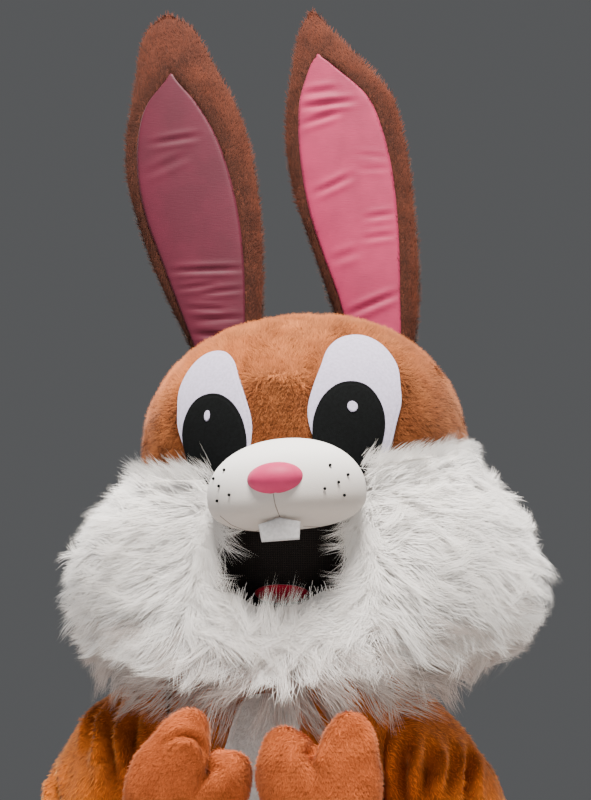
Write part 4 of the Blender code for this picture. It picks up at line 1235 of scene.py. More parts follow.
PAINTED_SHADE_LOW = (0.53, 0.485, 0.455)      # painted shade: what is left of the fleece's colour where the painted shade is deepest
PAINTED_SHADE_SLANT = 0.15                  # the painted shade reaches higher on the wearer's left
PAINTED_SHADE_REACH = (-0.055, 0.020)       # from this far above the muzzle's middle to this far below it


@functools.cache
def muzzle_fleece_painted_shade():
    """The muzzle's white fleece with shade painted on it, from its nose down to the mouth and higher on
    the wearer's left.
    """
    made, tree, shader = new_finish("white fleece greyed below", 0.9, 0.06)
    unshaded = shades(colours().fleece, 0.94)[0]
    grey = tuple(a * b for a, b in zip(unshaded, PAINTED_SHADE_LOW))
    half = tuple((a + b) / 2 for a, b in zip(unshaded, grey))
    place = on_object(tree)
    low = add(tree, "ShaderNodeVectorMath", {"operation": "DOT_PRODUCT", 1: (PAINTED_SHADE_SLANT, 0.0, -1.0)},
              {0: place})
    middle = HEAD @ MUZZLE_CENTRE
    zero = PAINTED_SHADE_SLANT * middle.x - middle.z
    share = add(tree, "ShaderNodeMapRange", {"From Min": zero + PAINTED_SHADE_REACH[0],
                                             "From Max": zero + PAINTED_SHADE_REACH[1]},
                {"Value": low.outputs["Value"]})
    ramp = add(tree, "ShaderNodeValToRGB", {"stops": [(0.0, unshaded), (0.5, half), (1.0, grey)]},
               {"Fac": share.outputs[0]})
    coloured(tree, shader, ramp.outputs["Color"])
    grain = add(tree, "ShaderNodeTexNoise", {"Scale": 1 / 0.0016, "Detail": 2.0}, {"Vector": place})
    raised(tree, shader, grain.outputs[0], 0.15, 0.002)
    return made


@functools.cache
def long_fur():
    """Long white faux fur: glossy locks, grey at the root as painted shade between them, and cream at the
    tip; low tones are greyer, painted shade on the lower strands.
    """
    fur = tuple(colours().fur)
    made, tree, shader = new_finish("long white fur", 0.62, sheen=0.2, specular=0.35)
    tone_place, along_place = strand_map(tree)
    along = add(tree, "ShaderNodeValToRGB", {"stops": [
        (0.0, shades(fur, 0.90)[0]), (0.35, shades(fur, 0.99)[0]), (0.8, fur),
        (1.0, (fur[0] * 1.02, fur[1] * 0.985, fur[2] * 0.90))]}, {"Fac": along_place})
    tone = add(tree, "ShaderNodeValToRGB", {"stops": [
        (0.0, linear("#8E817C")), (0.45, linear("#D2CAC6")), (0.80, (1.0, 1.0, 1.0))]},
        {"Fac": tone_place})
    coloured(tree, shader, multiplied(tree, along.outputs["Color"], tone.outputs["Color"]))
    return made


@functools.cache
def fur_backing():
    """The long fur's knitted ground, pale grey and matt; its grey is painted shade under the fur."""
    return backing_finish("long fur ground", colours().fur, 0.90, 0.003, 0.8)


@functools.cache
def satin(name="pink satin", shade=1.0):
    """Pink acetate satin: a soft gloss over fine threads; `shade` scales its dye, and the darker copy on
    the wearer's right ear is painted shade.
    """
    made, tree, shader = new_finish(name, 0.58, sheen=0.05, specular=0.22)
    dark, light = shades(colours().satin, 0.86 * shade, 1.06 * shade)
    coloured(tree, shader, blotches(tree, dark, light, 0.06))
    # threads drawn 1.5 mm apart, several times their real size, so that they show
    lay = add(tree, "ShaderNodeMapping", {"Scale": (0.12, 1.0, 1.0)}, {"Vector": on_object(tree)})
    thread = add(tree, "ShaderNodeTexNoise", {"Scale": 1 / 0.0015, "Detail": 2.0},
                 {"Vector": lay.outputs[0]})
    raised(tree, shader, thread.outputs[0], 0.25, 0.0006)
    return made


def felt_finish(name, colour, spread=(0.90, 1.06), sheen=0.25):
    """Pressed wool felt: matt, with short fibres in all directions."""
    made, tree, shader = new_finish(name, 0.92, sheen=sheen, specular=0.1)
    dark, light = shades(colour, *spread)
    coloured(tree, shader, blotches(tree, dark, light, 0.004, 4.0))
    fibre = add(tree, "ShaderNodeTexNoise", {"Scale": 1 / 0.0014, "Detail": 3.0, "Distortion": 0.6},
                {"Vector": on_object(tree)})
    raised(tree, shader, fibre.outputs[0], 0.45, 0.0008)
    return made


@functools.cache
def white_felt():
    """White felt with a lavender cast."""
    return felt_finish("white felt", colours().felt)


@functools.cache
def black_felt():
    """Black felt, faintly scuffed."""
    return felt_finish("black felt", colours().black, (0.75, 1.3), 0.0)


@functools.cache
def tooth_felt_painted_shade():
    """White felt, painted grey as the shade under the muzzle."""
    return felt_finish("tooth felt", colours().tooth)


@functools.cache
def seam_thread():
    """Grey-brown thread of the muzzle's seams."""
    made, _, shader = new_finish("seam thread", 0.9)
    shader.inputs["Base Color"].default_value = (*linear("#7A706B"), 1.0)
    return made


@functools.cache
def crimson_felt():
    """Crimson felt."""
    return felt_finish("crimson felt", colours().crimson, (0.85, 1.1))


@functools.cache
def mouth_net():
    """Black see-through polyester net: raised square threads over gaps painted near-black, the painted
    shade of the dark inside behind it.
    """
    made, tree, shader = new_finish("black net", 0.6, specular=0.12)
    place = on_object(tree)
    pitch = 2 * math.pi / 0.0032 / 20        # threads drawn 3.2 mm apart, twice their real size
    bands = [add(tree, "ShaderNodeTexWave", {"bands_direction": axis, "Scale": pitch}, {"Vector": place})
             for axis in ("X", "Z")]
    weave = add(tree, "ShaderNodeMath", {"operation": "MAXIMUM"},
                {0: bands[0].outputs["Fac"], 1: bands[1].outputs["Fac"]})
    colour = add(tree, "ShaderNodeValToRGB", {"stops": [
        (0.55, linear("#050506")), (0.95, tuple(colours().net))]}, {"Fac": weave.outputs[0]})
    coloured(tree, shader, colour.outputs["Color"])
    raised(tree, shader, weave.outputs[0], 0.7, 0.0010)
    return made


@functools.cache
def foam_sole():
    """Black moulded foam: matt, with a fine pebble grain."""
    made, tree, shader = new_finish("black foam sole", 0.7)
    dark, light = shades(colours().black, 0.9, 2.2)
    coloured(tree, shader, blotches(tree, dark, light, 0.01))
    pebble = add(tree, "ShaderNodeTexVoronoi", {"Scale": 1 / 0.003}, {"Vector": on_object(tree)})
    raised(tree, shader, pebble.outputs["Distance"], 0.3, 0.0008)
    return made


@functools.cache
def studio_floor():
    """A plain pale seamless floor."""
    made, _, shader = new_finish("pale studio floor", 0.9)
    shader.inputs["Base Color"].default_value = (*linear("#D8D8D6"), 1.0)
    return made


# ---- Looks of each pile -------------------------------------------------------------------------

# Sizes of a pile: lean is from upright, in radians, and a lock gathers strands this far apart.
HEAD_LOOK, EAR_LOOK, SUIT_LOOK, MITTEN_LOOK, BELLY_LOOK, TAIL_LOOK = named_rows(
    "length width lean lock gather swirl swirl_size levels", (
        (0.0125, 0.0012, 0.90, 0.008, 0.32, 0.7, 0.050, 2),
        (0.0100, 0.0013, 1.00, 0.009, 0.40, 0.5, 0.060, 2),
        (0.0085, 0.0020, 1.15, 0.008, 0.25, 0.4, 0.120, 2),
        (0.0058, 0.0012, 1.00, 0.006, 0.25, 0.5, 0.060, 2),
        (0.0110, 0.0020, 0.90, 0.011, 0.40, 0.7, 0.060, 2),
        (0.0180, 0.0020, 0.80, 0.014, 0.50, 1.2, 0.050, 3),
    ))


# ---- Where things lie on the head ---------------------------------------------------------------

HEAD_AXES = np.array(HEAD.to_3x3())


def in_head(points):
    """Points in the head's own axes, from its centre."""
    return (points - np.array(HEAD_CENTRE)) @ HEAD_AXES


def inside_head(points, margin):
    local = np.abs(in_head(points)) / (np.array(HEAD_RADII) - margin)
    return np.sum(local ** HEAD_SQUARENESS, axis=1) < 1


def face_place(points):
    """How far across and up the face points lie."""
    way = unit(in_head(points))
    return np.arctan2(way[:, 0], -way[:, 1]) * FACE_RADIUS, np.arcsin(way[:, 2]) * FACE_RADIUS


def on_eyes(points, margin):
    """Which points lie on an eye's white, less a margin at its edge."""
    across, up = face_place(points)
    table = np.array([WHITE_OUTLINE.at(share).radius for share in np.linspace(0, 1, 181)])
    found = np.zeros(len(points), dtype=bool)
    for eye in EYES:
        dx, dy = (across - eye.across) / (eye.side * eye.width), up - eye.up
        turn = np.arctan2(dx, dy) % (2 * math.pi) / (2 * math.pi)
        found |= np.hypot(dx, dy) < np.interp(turn, np.linspace(0, 1, 181), table) - margin
    return found & (points[:, 1] < 0)


def on_muzzle(points, margin):
    """Which points lie behind the muzzle's cushion, less a margin at its edge."""
    local = in_head(points) - np.array(MUZZLE_CENTRE)
    up = np.where(local[:, 2] > 0, MUZZLE_UP, MUZZLE_DOWN) - margin
    size = np.hypot(local[:, 0] / (MUZZLE_HALF_WIDTH - margin), local[:, 2] / up)
    return (size < 1) & (points[:, 1] < -0.1)


def rolled(surface, edges, reach, depth):
    """The surface with its sewn edges turned in; edges are any of u0, u1, v0 and v1."""
    points = surface.points
    height = np.zeros(points.shape[:2])
    for axis, name in ((0, "u"), (1, "v")):
        runs = np.linalg.norm(np.diff(points, axis=axis), axis=2)
        pad = ((1, 0), (0, 0)) if axis == 0 else ((0, 0), (1, 0))
        gone = np.cumsum(np.pad(runs, pad), axis=axis)
        total = gone[-1:] if axis == 0 else gone[:, -1:]
        if name + "0" in edges:
            height -= depth * np.exp(-(gone / reach) ** 2)
        if name + "1" in edges:
            height -= depth * np.exp(-((total - gone) / reach) ** 2)
    return surface.moved(height)


# ---- Head ---------------------------------------------------------------------------------------

DOME_PIECES = (
    ("head_gusset", 0.5 - HALF_STRIP, 0.5 + HALF_STRIP, (60, 12), "v0 v1"),
    ("head_side_right", 0.0, 0.5 - HALF_STRIP, (64, 30), "v1"),
    ("head_side_left", 0.5 + HALF_STRIP, 1.0, (64, 30), "v0"),
)


def combed_back(points):
    """The head's pile runs back over its crown, and down and back on its sides and brow."""
    way = unit(in_head(points))
    top = ease((way[:, 2] - 0.20) / 0.4)
    back = 0.10 + 0.45 * np.abs(way[:, 0]) + 0.8 * top
    return np.stack([0.5 * way[:, 0], back, -0.9 * (1 - top)], axis=1) @ HEAD_AXES.T


def crown_tone(points):
    """The head's pile is darkest on its brow and crown; light is painted on the wearer's right side and
    shade on the wearer's left.
    """
    way = unit(in_head(points))
    brow = ease((-way[:, 1] - 0.3) / 0.5) * (1 - ease((way[:, 2] - 0.30) / 0.35))
    aside = 0.36 * ease(-way[:, 0]) - 0.34 * ease(way[:, 0])
    crown = ease((way[:, 2] - 0.45) / 0.3)
    return aside - 0.42 * brow - 0.34 * crown + (0.07 + 0.05 * crown) * ripple(points, 0.045, 78)


HEAD_AREA = 0.40           # square metres of head that its number of strands is for


def build_head(sizes):
    for number, (name, start, end, steps, edges) in enumerate(DOME_PIECES):
        form = sample(dome, steps, along=(start, end))
        face_side = rolled(form.moved(-HEAD_NAP), edges.split(), 0.006, 0.003)
        share = form.cells()[0].sum() / HEAD_AREA
        plush_panel(name, face_side, BROWN_PLUSH, int(sizes.head_strands * share), HEAD_LOOK,
                    combed_back, 11 + number, "stretched",
                    keep=lambda points: ~on_eyes(points, 0.002) & ~on_muzzle(points, 0.004),
                    weight=lambda points: np.where(points[..., 1] < 0.04, 1.0, 0.62),
                    paler=crown_tone)


# ---- Ears ---------------------------------------------------------------------------------------

# Wrinkles across the satin: places are shares across from the right and up from the root.
EAR_WRINKLES = {
    "right": (
        (0.15, 0.735, 0.80, 0.755, 0.01, 0.00496, 0.00130, 0.00120),
        (0.08, 0.640, 0.62, 0.700, 0.01, 0.00620, 0.00080, 0.00080),
        (0.06, 0.345, 0.98, 0.345, 0.00, 0.00434, 0.00210, 0.00170),
        (0.05, 0.290, 0.60, 0.300, 0.01, 0.00372, 0.00130, 0.00120),
        (0.40, 0.275, 0.98, 0.285, 0.00, 0.00372, 0.00150, 0.00120),
        (0.08, 0.235, 0.70, 0.228, 0.01, 0.00372, 0.00150, 0.00130),
        (0.15, 0.200, 0.98, 0.205, 0.00, 0.00434, 0.00170, 0.00150),
        (0.05, 0.165, 0.98, 0.155, 0.01, 0.00434, 0.00240, 0.00200),
        (0.05, 0.120, 0.98, 0.118, 0.00, 0.00434, 0.00250, 0.00210),
        (0.05, 0.080, 0.98, 0.085, 0.00, 0.00496, 0.00225, 0.00200),
    ),
    "left": (
        (0.02, 0.790, 0.62, 0.800, 0.00, 0.00558, 0.00170, 0.00150),
        (0.02, 0.745, 0.80, 0.760, 0.00, 0.00496, 0.00220, 0.00210),
        (0.02, 0.690, 0.55, 0.725, 0.01, 0.00496, 0.00170, 0.00170),
        (0.10, 0.500, 0.55, 0.545, 0.02, 0.00496, 0.00220, 0.00190),
        (0.60, 0.600, 0.98, 0.590, 0.03, 0.00372, 0.00070, 0.00060),
        (0.62, 0.560, 0.98, 0.560, 0.03, 0.00372, 0.00070, 0.00060),
        (0.62, 0.430, 0.98, 0.440, 0.00, 0.00434, 0.00150, 0.00120),
        (0.55, 0.375, 0.98, 0.385, 0.00, 0.00434, 0.00130, 0.00110),
        (0.08, 0.320, 0.50, 0.345, 0.00, 0.00620, 0.00110, 0.00100),
        (0.05, 0.180, 0.98, 0.230, 0.015, 0.00496, 0.00260, 0.00220),
        (0.10, 0.120, 0.90, 0.120, 0.00, 0.00620, 0.00130, 0.00110),
    ),
}


def lining_inset(side, points):
    """How far inside the satin's outline points of an ear lie; it is negative outside it."""
    table = [EARS[side].at(share) for share in np.linspace(0, LINING_TIP[side], 121)]
    heights = [row.height for row in table]
    right = np.interp(points[..., 2], heights, [row.lining_right for row in table])
    left = np.interp(points[..., 2], heights, [row.lining_left for row in table])
    inset = np.minimum(points[..., 0] - right, left - points[..., 0])
    inset = np.minimum(inset, heights[-1] - points[..., 2])
    return np.where(points[..., 1] < ear_middle(points[..., 2]), inset, -1.0)


EAR_NAP = 0.007            # the ear's ground lies this far behind its face
BED_DEPTH = 0.006          # and this much deeper under the satin
SATIN_MARGIN = 0.0008
SATIN_THICK = 0.0015
SHADE_REACH = 0.045        # the pile is painted darker within this distance of the satin: painted shade round its sunken bed
SHADE = 0.66
EAR_PAINTED_LIGHT = {"right": 0.04, "left": 0.22}       # painted light: how much paler than its dye each ear's pile is painted, more on the wearer's left ear


def build_ear(side, seed, sizes):
    form = sample(ear_body(side), (88, 72))
    bed = ease((lining_inset(side, form.points) + 0.001) / 0.005)
    body = form.moved(-EAR_NAP - BED_DEPTH * bed)
    padded_piece("padded_ear_" + side, body, EAR_PLUSH.ground(), "ear_" + side)

    flat = sample(ear_lining(side, LINING_SUNK - LINING, SATIN_MARGIN), (28, 136), hint=(0, -1, 0))
    satin_face = rolled(folded(flat, EAR_WRINKLES[side]), ["u0", "u1", "v1"], 0.002, 0.001)
    # The wearer's right ear gets a darker copy of the same satin: painted shade.
    finish = satin("pink satin cut across", 0.25) if side == "right" else satin()
    lining = cloth("satin_ear_" + side, satin_face, SATIN_THICK, finish)
    sewn(satin_face, ["ear_lining_" + side])

    def keep(points):
        return (lining_inset(side, points) < 0.0005) & ~inside_head(points, 0.012)

    # Painted shade darkens the pile next to the satin, painted light makes each ear's pile paler by its
    # own share, and the mottle is the pile's own uneven tone.
    def painted_light_shade_and_mottle(points):
        gap = -lining_inset(side, points)
        near = (1 - ease(gap / SHADE_REACH)) * (gap < 0.5)
        mottle = 0.12 * ripple(points, 0.045, 77) + 0.12 * ripple(points, 0.016, 79)
        return EAR_PAINTED_LIGHT[side] + mottle - SHADE * near

    def brushed_up(points):
        aside = points[:, 0] - form.points[..., 0].mean()
        beside = 1 - ease(-lining_inset(side, points) / 0.010)
        way = np.zeros_like(points)
        way[:, 0] = 3.0 * aside * (1 - beside) - 0.8 * np.sign(aside) * beside
        way[:, 2] = 1.0
        return way
    pile("pile_ear_" + side, body, sizes.ear_strands, EAR_PLUSH, EAR_LOOK, brushed_up, seed, keep,
         lambda points: np.where(points[..., 1] < 0.06, 1.0, 0.6), painted_light_shade_and_mottle)


def build_ears(sizes):
    build_ear("right", 31, sizes)
    build_ear("left", 37, sizes)


# ---- Face ---------------------------------------------------------------------------------------

EYE_WALL = 0.011           # the felt reaches down between the strands round it
STITCH_DEPTH = 0.0009
STITCH = 0.935             # where the stitched line runs, as a share of the way to the edge
EDGE = 0.975               # from here on the felt's face turns down
EDGE_DROP = 0.0016
FELT_STEPS = (84, 16)


def felt_shape(name, outline, centre, side, width, top, thick, material):
    """A felt appliqué with a soft edge and a stitched line just inside it."""
    form = eye_form(outline, centre, side, width, top)

    def closer_at_edge(u, v):
        return form(u, 1 - (1 - v) ** 2)
    flat = sample(closer_at_edge, FELT_STEPS, hint=(0, -1, 0))
    share = 1 - (1 - np.linspace(0, 1, FELT_STEPS[1] + 1)[None, :]) ** 2
    stitches = STITCH_DEPTH * np.exp(-((share - STITCH) / 0.018) ** 2)
    shape = flat.moved(-stitches - EDGE_DROP * ease((share - EDGE) / (1 - EDGE)))
    return cloth(name, shape, thick, material), shape


def build_eyes(_sizes):
    for eye in EYES:
        side = "right" if eye.side < 0 else "left"
        layers = (
            ("white", WHITE_OUTLINE, (eye.across, eye.up), eye.width, FELT, EYE_WALL, white_felt,
             "white_felt"),
            ("pupil", PUPIL_OUTLINE, (eye.pupil_across, eye.pupil_up), 1.0, FELT + THIN_FELT, FELT,
             black_felt, "black_felt"),
            ("glint", GLINT_OUTLINE, (eye.glint_across, eye.glint_up), eye.glint_width,
             FELT + 2 * THIN_FELT, 0.6 * THIN_FELT, white_felt, "white_felt"),
        )
        for part, outline, centre, width, top, thick, finish, slot in layers:
            name = "eye_{}_{}".format(part, side)
            piece, shape = felt_shape("felt_" + name, outline, centre, eye.side, width, top, thick,
                                      finish())
            sewn(shape, [name])


# Whisker dots: across and up from the muzzle's middle, on its face.
WHISKERS = (
    (-0.077, 0.038), (-0.095, 0.028), (-0.085, 0.016), (-0.069, 0.002), (-0.089, -0.004),
    (0.071, 0.032), (0.093, 0.018), (0.081, 0.008), (0.063, 0.000), (0.087, -0.010),
)
WHISKER_RADIUS = 0.0022
# Seams of the muzzle, from its middle: below the nose, and along its lower edge on both sides.
MUZZLE_LINES = (
    ((-0.006, -0.002), (-0.005, -0.016), (-0.003, -0.028), (-0.002, -0.040)),
    ((-0.022, -0.044), (-0.045, -0.0475), (-0.060, -0.045), (-0.075, -0.037), (-0.088, -0.024)),
    ((0.024, -0.046), (0.050, -0.0485), (0.070, -0.048), (0.090, -0.043), (0.102, -0.037)),
)
MUZZLE_FOLDS = ((0.748, 0.30, 0.750, 0.66, 0.000, 0.009, 0.0030, 0.0),)
NOSE_FOLDS = ((0.745, 0.30, 0.752, 0.60, 0.004, 0.0030, 0.0014, 0.0),)


def muzzle_face(u, v):
    turn = 2 * math.pi * u
    return HEAD @ muzzle_rim(turn, muzzle_edge(turn) * v)


def nose_form(u, v):
    turn, back = 2 * math.pi * u, math.pi * v
    return HEAD @ (NOSE_CENTRE + Vector((NOSE_RADII.x * math.sin(back) * math.cos(turn),
                                         -NOSE_RADII.y * math.cos(back),
                                         NOSE_RADII.z * math.sin(back) * math.sin(turn))))


def corded(mesh, places, radius):
    """A thin closed cord along a line of places."""
    rings = []
    for place, before, after in zip(places, [places[0], *places], [*places[1:], places[-1]]):
        run = (after - before).normalized()
        side = run.orthogonal().normalized()
        up = run.cross(side)
        rings.append([mesh.verts.new(place + radius * (math.cos(turn) * side + math.sin(turn) * up))
                      for turn in (math.radians(60 * step) for step in range(6))])
    for near, far in zip(rings, rings[1:]):
        turn = min(range(6), key=lambda step: sum((near[k].co - far[(k + step) % 6].co).length
                                                  for k in range(6)))
        far[:] = far[turn:] + far[:turn]
        for k in range(6):
            mesh.faces.new((near[k], near[(k + 1) % 6], far[(k + 1) % 6], far[k]))
    mesh.faces.new(rings[0][::-1])
    mesh.faces.new(rings[-1])


def sew_whisker_dots():
    dots = bmesh.new()
    for across, up in WHISKERS:
        x, z = MUZZLE_CENTRE.x + across, MUZZLE_CENTRE.z + up
        place = HEAD @ Vector((x, muzzle_front(x, z) - 0.0006, z))
        flat = Matrix.Translation(place) @ Matrix.Diagonal((1.0, 0.6, 1.0, 1.0))
        bmesh.ops.create_uvsphere(dots, u_segments=12, v_segments=8, radius=WHISKER_RADIUS, matrix=flat)
    piece_from("whisker_dots", dots, black_felt())


def sew_muzzle_seams(front):
    lines = bmesh.new()
    face = BVHTree.FromPolygons([tuple(point) for point in front.points.reshape(-1, 3)], front.quads())
    for seam in MUZZLE_LINES:
        ends = np.linspace(0, len(seam) - 1, 6 * len(seam))
        across, up = (np.interp(ends, np.arange(len(seam)), side) for side in zip(*seam))
        starts = [HEAD @ (MUZZLE_CENTRE + Vector((a, -0.3, b))) for a, b in zip(across, up)]
        found = [face.ray_cast(start, HEAD.to_3x3() @ Vector((0, 1, 0)))[0] for start in starts]
        corded(lines, [place for place in found if place], 0.0006)
    piece_from("muzzle_seams", lines, seam_thread())


def hang_tooth():
    """The felt tooth under the muzzle, with its shoulders drawn in under it."""
    seat = min(muzzle_front(TOOTH.centre + side * TOOTH.width_top / 2, TOOTH.top) for side in (-1, 0, 1))
    low, peak = 0.005, TOOTH.peak + 0.004

    def tooth_face(u, v):
        half = mix(TOOTH.width_top, TOOTH.width_bottom, v) / 2
        x = TOOTH.centre + mix(-half, half, u)
        z = TOOTH.top - low - (TOOTH.height - low) * v + peak * (1 - v) * (1 - abs(2 * u - 1))
        return HEAD @ Vector((x, seat - SEAM_GAP - TOOTH.thick + 0.0005, z))
    shape = rolled(sample(tooth_face, (44, 22), hint=(0, -1, 0)), ["u0", "u1", "v0", "v1"], 0.0015, 0.0012)
    piece = cloth("felt_tooth", shape, 0.0035, tooth_felt_painted_shade())
    sewn(shape, ["tooth"])


def build_muzzle(_sizes):
    front = folded(sample(muzzle_face, (160, 44)).moved(-0.0015), MUZZLE_FOLDS, 0.0003, 5)
    padded_piece("padded_muzzle", front, muzzle_fleece_painted_shade(), "muzzle")
    nose = folded(sample(nose_form, (72, 36)), NOSE_FOLDS, 0.0003, 8)
    padded_piece("padded_nose", nose, satin("nose satin", 1.6), "nose")
    sew_whisker_dots()
    sew_muzzle_seams(front)
    hang_tooth()


def build_mouth(_sizes):
    turns = (MOUTH.right - MESH_OVERLAP, MOUTH.left + MESH_OVERLAP)
    near = SEAM_GAP + RUFF_FACET

    def net(u, v):
        return behind_ruff(mix(*turns, u), mix(*MESH_REACH, v), near)
    flat = sample(net, (40, 36), hint=(0, -1, 0))
    piece = cloth("net_mouth", flat, MESH_THICK, mouth_net())
    sewn(flat, ["mouth_mesh"])

    def tongue(u, v):
        turn = 2 * math.pi * u
        theta = TONGUE.turn + TONGUE.half_turn * v * math.cos(turn)
        drop = TONGUE.drop + TONGUE.half_drop * v * math.sin(turn)
        return behind_ruff(theta, drop, -TONGUE.thick * (1 - 0.5 * v * v))
    steps = (64, 14)
    share = np.linspace(0, 1, steps[1] + 1)[None, :]
    shape = sample(tongue, steps, hint=(0, -1, 0)).moved(-0.002 * ease((share - 0.9) / 0.1))
    piece = cloth("felt_tongue", shape, 0.0055, crimson_felt())
    sewn(shape, ["tongue"])


# ---- Ruff ---------------------------------------------------------------------------------------

MOUTH_MIDDLE = np.array((0.020, -0.200, 0.200))    # the fur is combed away from here
MOUTH_LOW = SimpleNamespace(turn=math.radians(4.0), drop=0.74)     # and in over the mouth to here
FUR_DEPTH = 0.048          # the fur's ground lies at most this far behind its face
FUR_LEAST = 0.012
FUR_HEM = 0.84             # the ground ends here, as a share of the drop, and turns in to the neck
UNDERSIDE = 0.85           # from this share of its own length on, the ground turns in
TONGUE_NOTCH = SimpleNamespace(depth=0.052, turn=0.037, half_turn=0.200)
RUFF_STEPS = (180, 60)
RUFF_PIECES = (
    ("ruff_cheek_left", MOUTH.left, CHEEK_END),
    ("ruff_back", CHEEK_END, 2 * math.pi - CHEEK_END),
    ("ruff_cheek_right", 2 * math.pi - CHEEK_END, 2 * math.pi + MOUTH.right),
    ("ruff_chin", MOUTH.right, MOUTH.left),
)

# Groups of tufts: strands to a square metre, the shares of the drop that they root between, their
# length and the width of a tuft, how far it gathers, how deep its tips lie, how much it is combed
# up, to the side and into the mouth, how far down it reaches at most, its tone, how wide its
# strands are, and the points along each. The last two groups grow at the mouth's edge.
FUR_GROUPS = named_rows(
    "close low high length tuft gather deep rise side inward reach tone wide levels", (
        (86000, 0.01, 0.76, 0.060, 0.0120, 0.30, 0.12, 0.10, 0.00, 0.0, 0.82, 0.88, 1.0, 3),
        (16000, 0.04, 0.72, 0.076, 0.0070, 0.78, -0.10, 0.10, 0.10, 0.0, 0.88, 0.84, 0.9, 4),
        # the hem's thin wisps: their low tone is painted shade
        (54000, 0.60, 0.90, 0.105, 0.0085, 0.55, 0.05, 0.00, 0.95, 0.0, 1.10, 0.36, 0.65, 3),
        (250000, 0.22, 0.76, 0.074, 0.0050, 0.62, 0.00, 0.00, 0.00, 1.0, 0.84, 0.84, 0.65, 3),
        (220000, 0.18, 0.74, 0.038, 0.0060, 0.30, 0.05, 0.00, 0.00, 0.6, 0.84, 0.88, 0.90, 3),
    ))
COMB_SPREAD = 0.26         # how unevenly the tufts lie, in radians: on the ruff
INWARD_SPREAD = 0.38       # and at the mouth's edge
COMB_BENDS = ((0.42, 0.09, 71), (0.34, 0.035, 72))     # bends of the combing, wide and narrow
TUFT_LENGTHS = (0.75, 1.15)                            # of their group's length
STRAND_LENGTHS = (0.72, 1.08)                          # of their tuft's
TIP_DEPTHS = (-0.24, 0.34)
LEFT_DEEPER = 0.30         # tips lie deeper on the wearer's left
HEM_ROOM = 0.12            # strands bend before their group's lowest reach within this share
FLICK = 0.06               # how far tips fly out at the ruff's sides, as a share of its depth
BACK_CLOSENESS = 0.38      # the back piece's fur stands less close
# Tufts to a metre of the head's seam, and how they stand up from it.
CREST = SimpleNamespace(tufts=1250, band=0.20, strands=12, tuft=0.0055, gather=0.6,
                        length=0.048, wide=0.75, rise=(0.45, 1.1), side=(0.10, 0.60),
                        out=(0.10, 0.48), levels=4)


def from_front(theta):
    """A turn round the ruff as one from -pi to pi."""
    return (theta + math.pi) % (2 * math.pi) - math.pi


def ruff_ground(theta, v):
    """The long fur's ground: behind its face."""
    out, back = ruff_outer(theta, v), ruff_inner(theta, v)
    gap = back - out
    depth = min(max(gap.length - FUR_LEAST, 0.0), FUR_DEPTH)
    return out + gap.normalized() * depth if gap.length > 1e-6 else out


def ruff_top(theta):
    """Where the fur starts, as a share of the drop: the head's seam, or the mouth's lower edge."""
    turn = from_front(theta)
    if not MOUTH.right < turn < MOUTH.left:
        return 0.0
    notch = TONGUE_NOTCH
    dip = notch.depth * math.exp(-((turn - notch.turn) / notch.half_turn) ** 4)
    return MOUTH.drop / -RUFF_LIP.front + dip


def ruff_tops(turns):
    return np.array([ruff_top(turn) for turn in turns])


def ruff_backing(name):
    """The ground of one piece of fur, from its top edge round its hem to the neck."""
    def place(theta, v):
        top = 0.0
        if name == "ruff_chin":
            inside = min(max(theta, MOUTH.right + 1e-4), MOUTH.left - 1e-4)
            top = ruff_top(inside)
        if v < UNDERSIDE:
            return ruff_ground(theta, mix(top, FUR_HEM, v / UNDERSIDE))
        hem, neck = ruff_ground(theta, FUR_HEM), ruff_inner(theta, 1.0)
        return hem.lerp(neck, (v - UNDERSIDE) / (1 - UNDERSIDE) * 0.98)
    return place


@functools.cache
def ruff_surfaces():
    """The fur's face and its ground, sampled on the same grid: once round, and down."""
    turns = (0.0, 2 * math.pi)
    return (sample(ruff_outer, RUFF_STEPS, across=turns), sample(ruff_ground, RUFF_STEPS, across=turns))


def clear_of_head(points, lift):
    """The points, with any that lie in the head moved out to just over its pile."""
    local = in_head(points.reshape(-1, 3))
    size = np.sum(np.abs(local / np.array(HEAD_RADII)) ** HEAD_SQUARENESS, axis=1) ** (1 / HEAD_SQUARENESS)
    least = 1 + np.broadcast_to(lift, points.shape[:-1]).reshape(-1) / FACE_RADIUS
    grown = local * np.maximum(least / np.maximum(size, 1e-6), 1.0)[:, None]
    return (grown @ HEAD_AXES.T + np.array(HEAD_CENTRE)).reshape(points.shape)


def fur_path(theta, v, depth, lift):
    """Points between the fur's face and its ground, over the head and below the lower edge."""
    outer, ground = ruff_surfaces()
    u = theta / (2 * math.pi) % 1.0
    face, normals = outer.at(u, v)
    back, _ = ground.at(u, v)
    rise = (face - outer.at(u, np.maximum(v, 0) + 0.02)[0]) / 0.02
    points = face + (back - face) * np.maximum(depth, 0)[..., None]
    points -= normals * np.minimum(depth, 0)[..., None] * FUR_DEPTH
    points += rise * np.maximum(-v, 0.0)[..., None]
    points += np.array((0.0, 0.0, -0.40)) * np.maximum(v - 1.0, 0.0)[..., None]
    return clear_of_head(points, lift), normals


def fur_step(theta, v, way):
    """How far round and down a step along a direction goes."""
    outer = ruff_surfaces()[0]
    step = 0.01
    u = theta / (2 * math.pi)
    here, _ = outer.at(u % 1.0, v)
    low = np.minimum(v, 1 - step)
    across = (outer.at((u + step) % 1.0, v)[0] - here) / (step * 2 * math.pi)
    down = (outer.at(u % 1.0, low + step)[0] - outer.at(u % 1.0, low)[0]) / step
    aa, dd, ad = (np.sum(x * y, axis=-1) for x, y in ((across, across), (down, down), (across, down)))
    wa, wd = np.sum(way * across, axis=-1), np.sum(way * down, axis=-1)
    size = np.maximum(aa * dd - ad * ad, 1e-9)
    return (wa * dd - wd * ad) / size, (wd * aa - wa * ad) / size


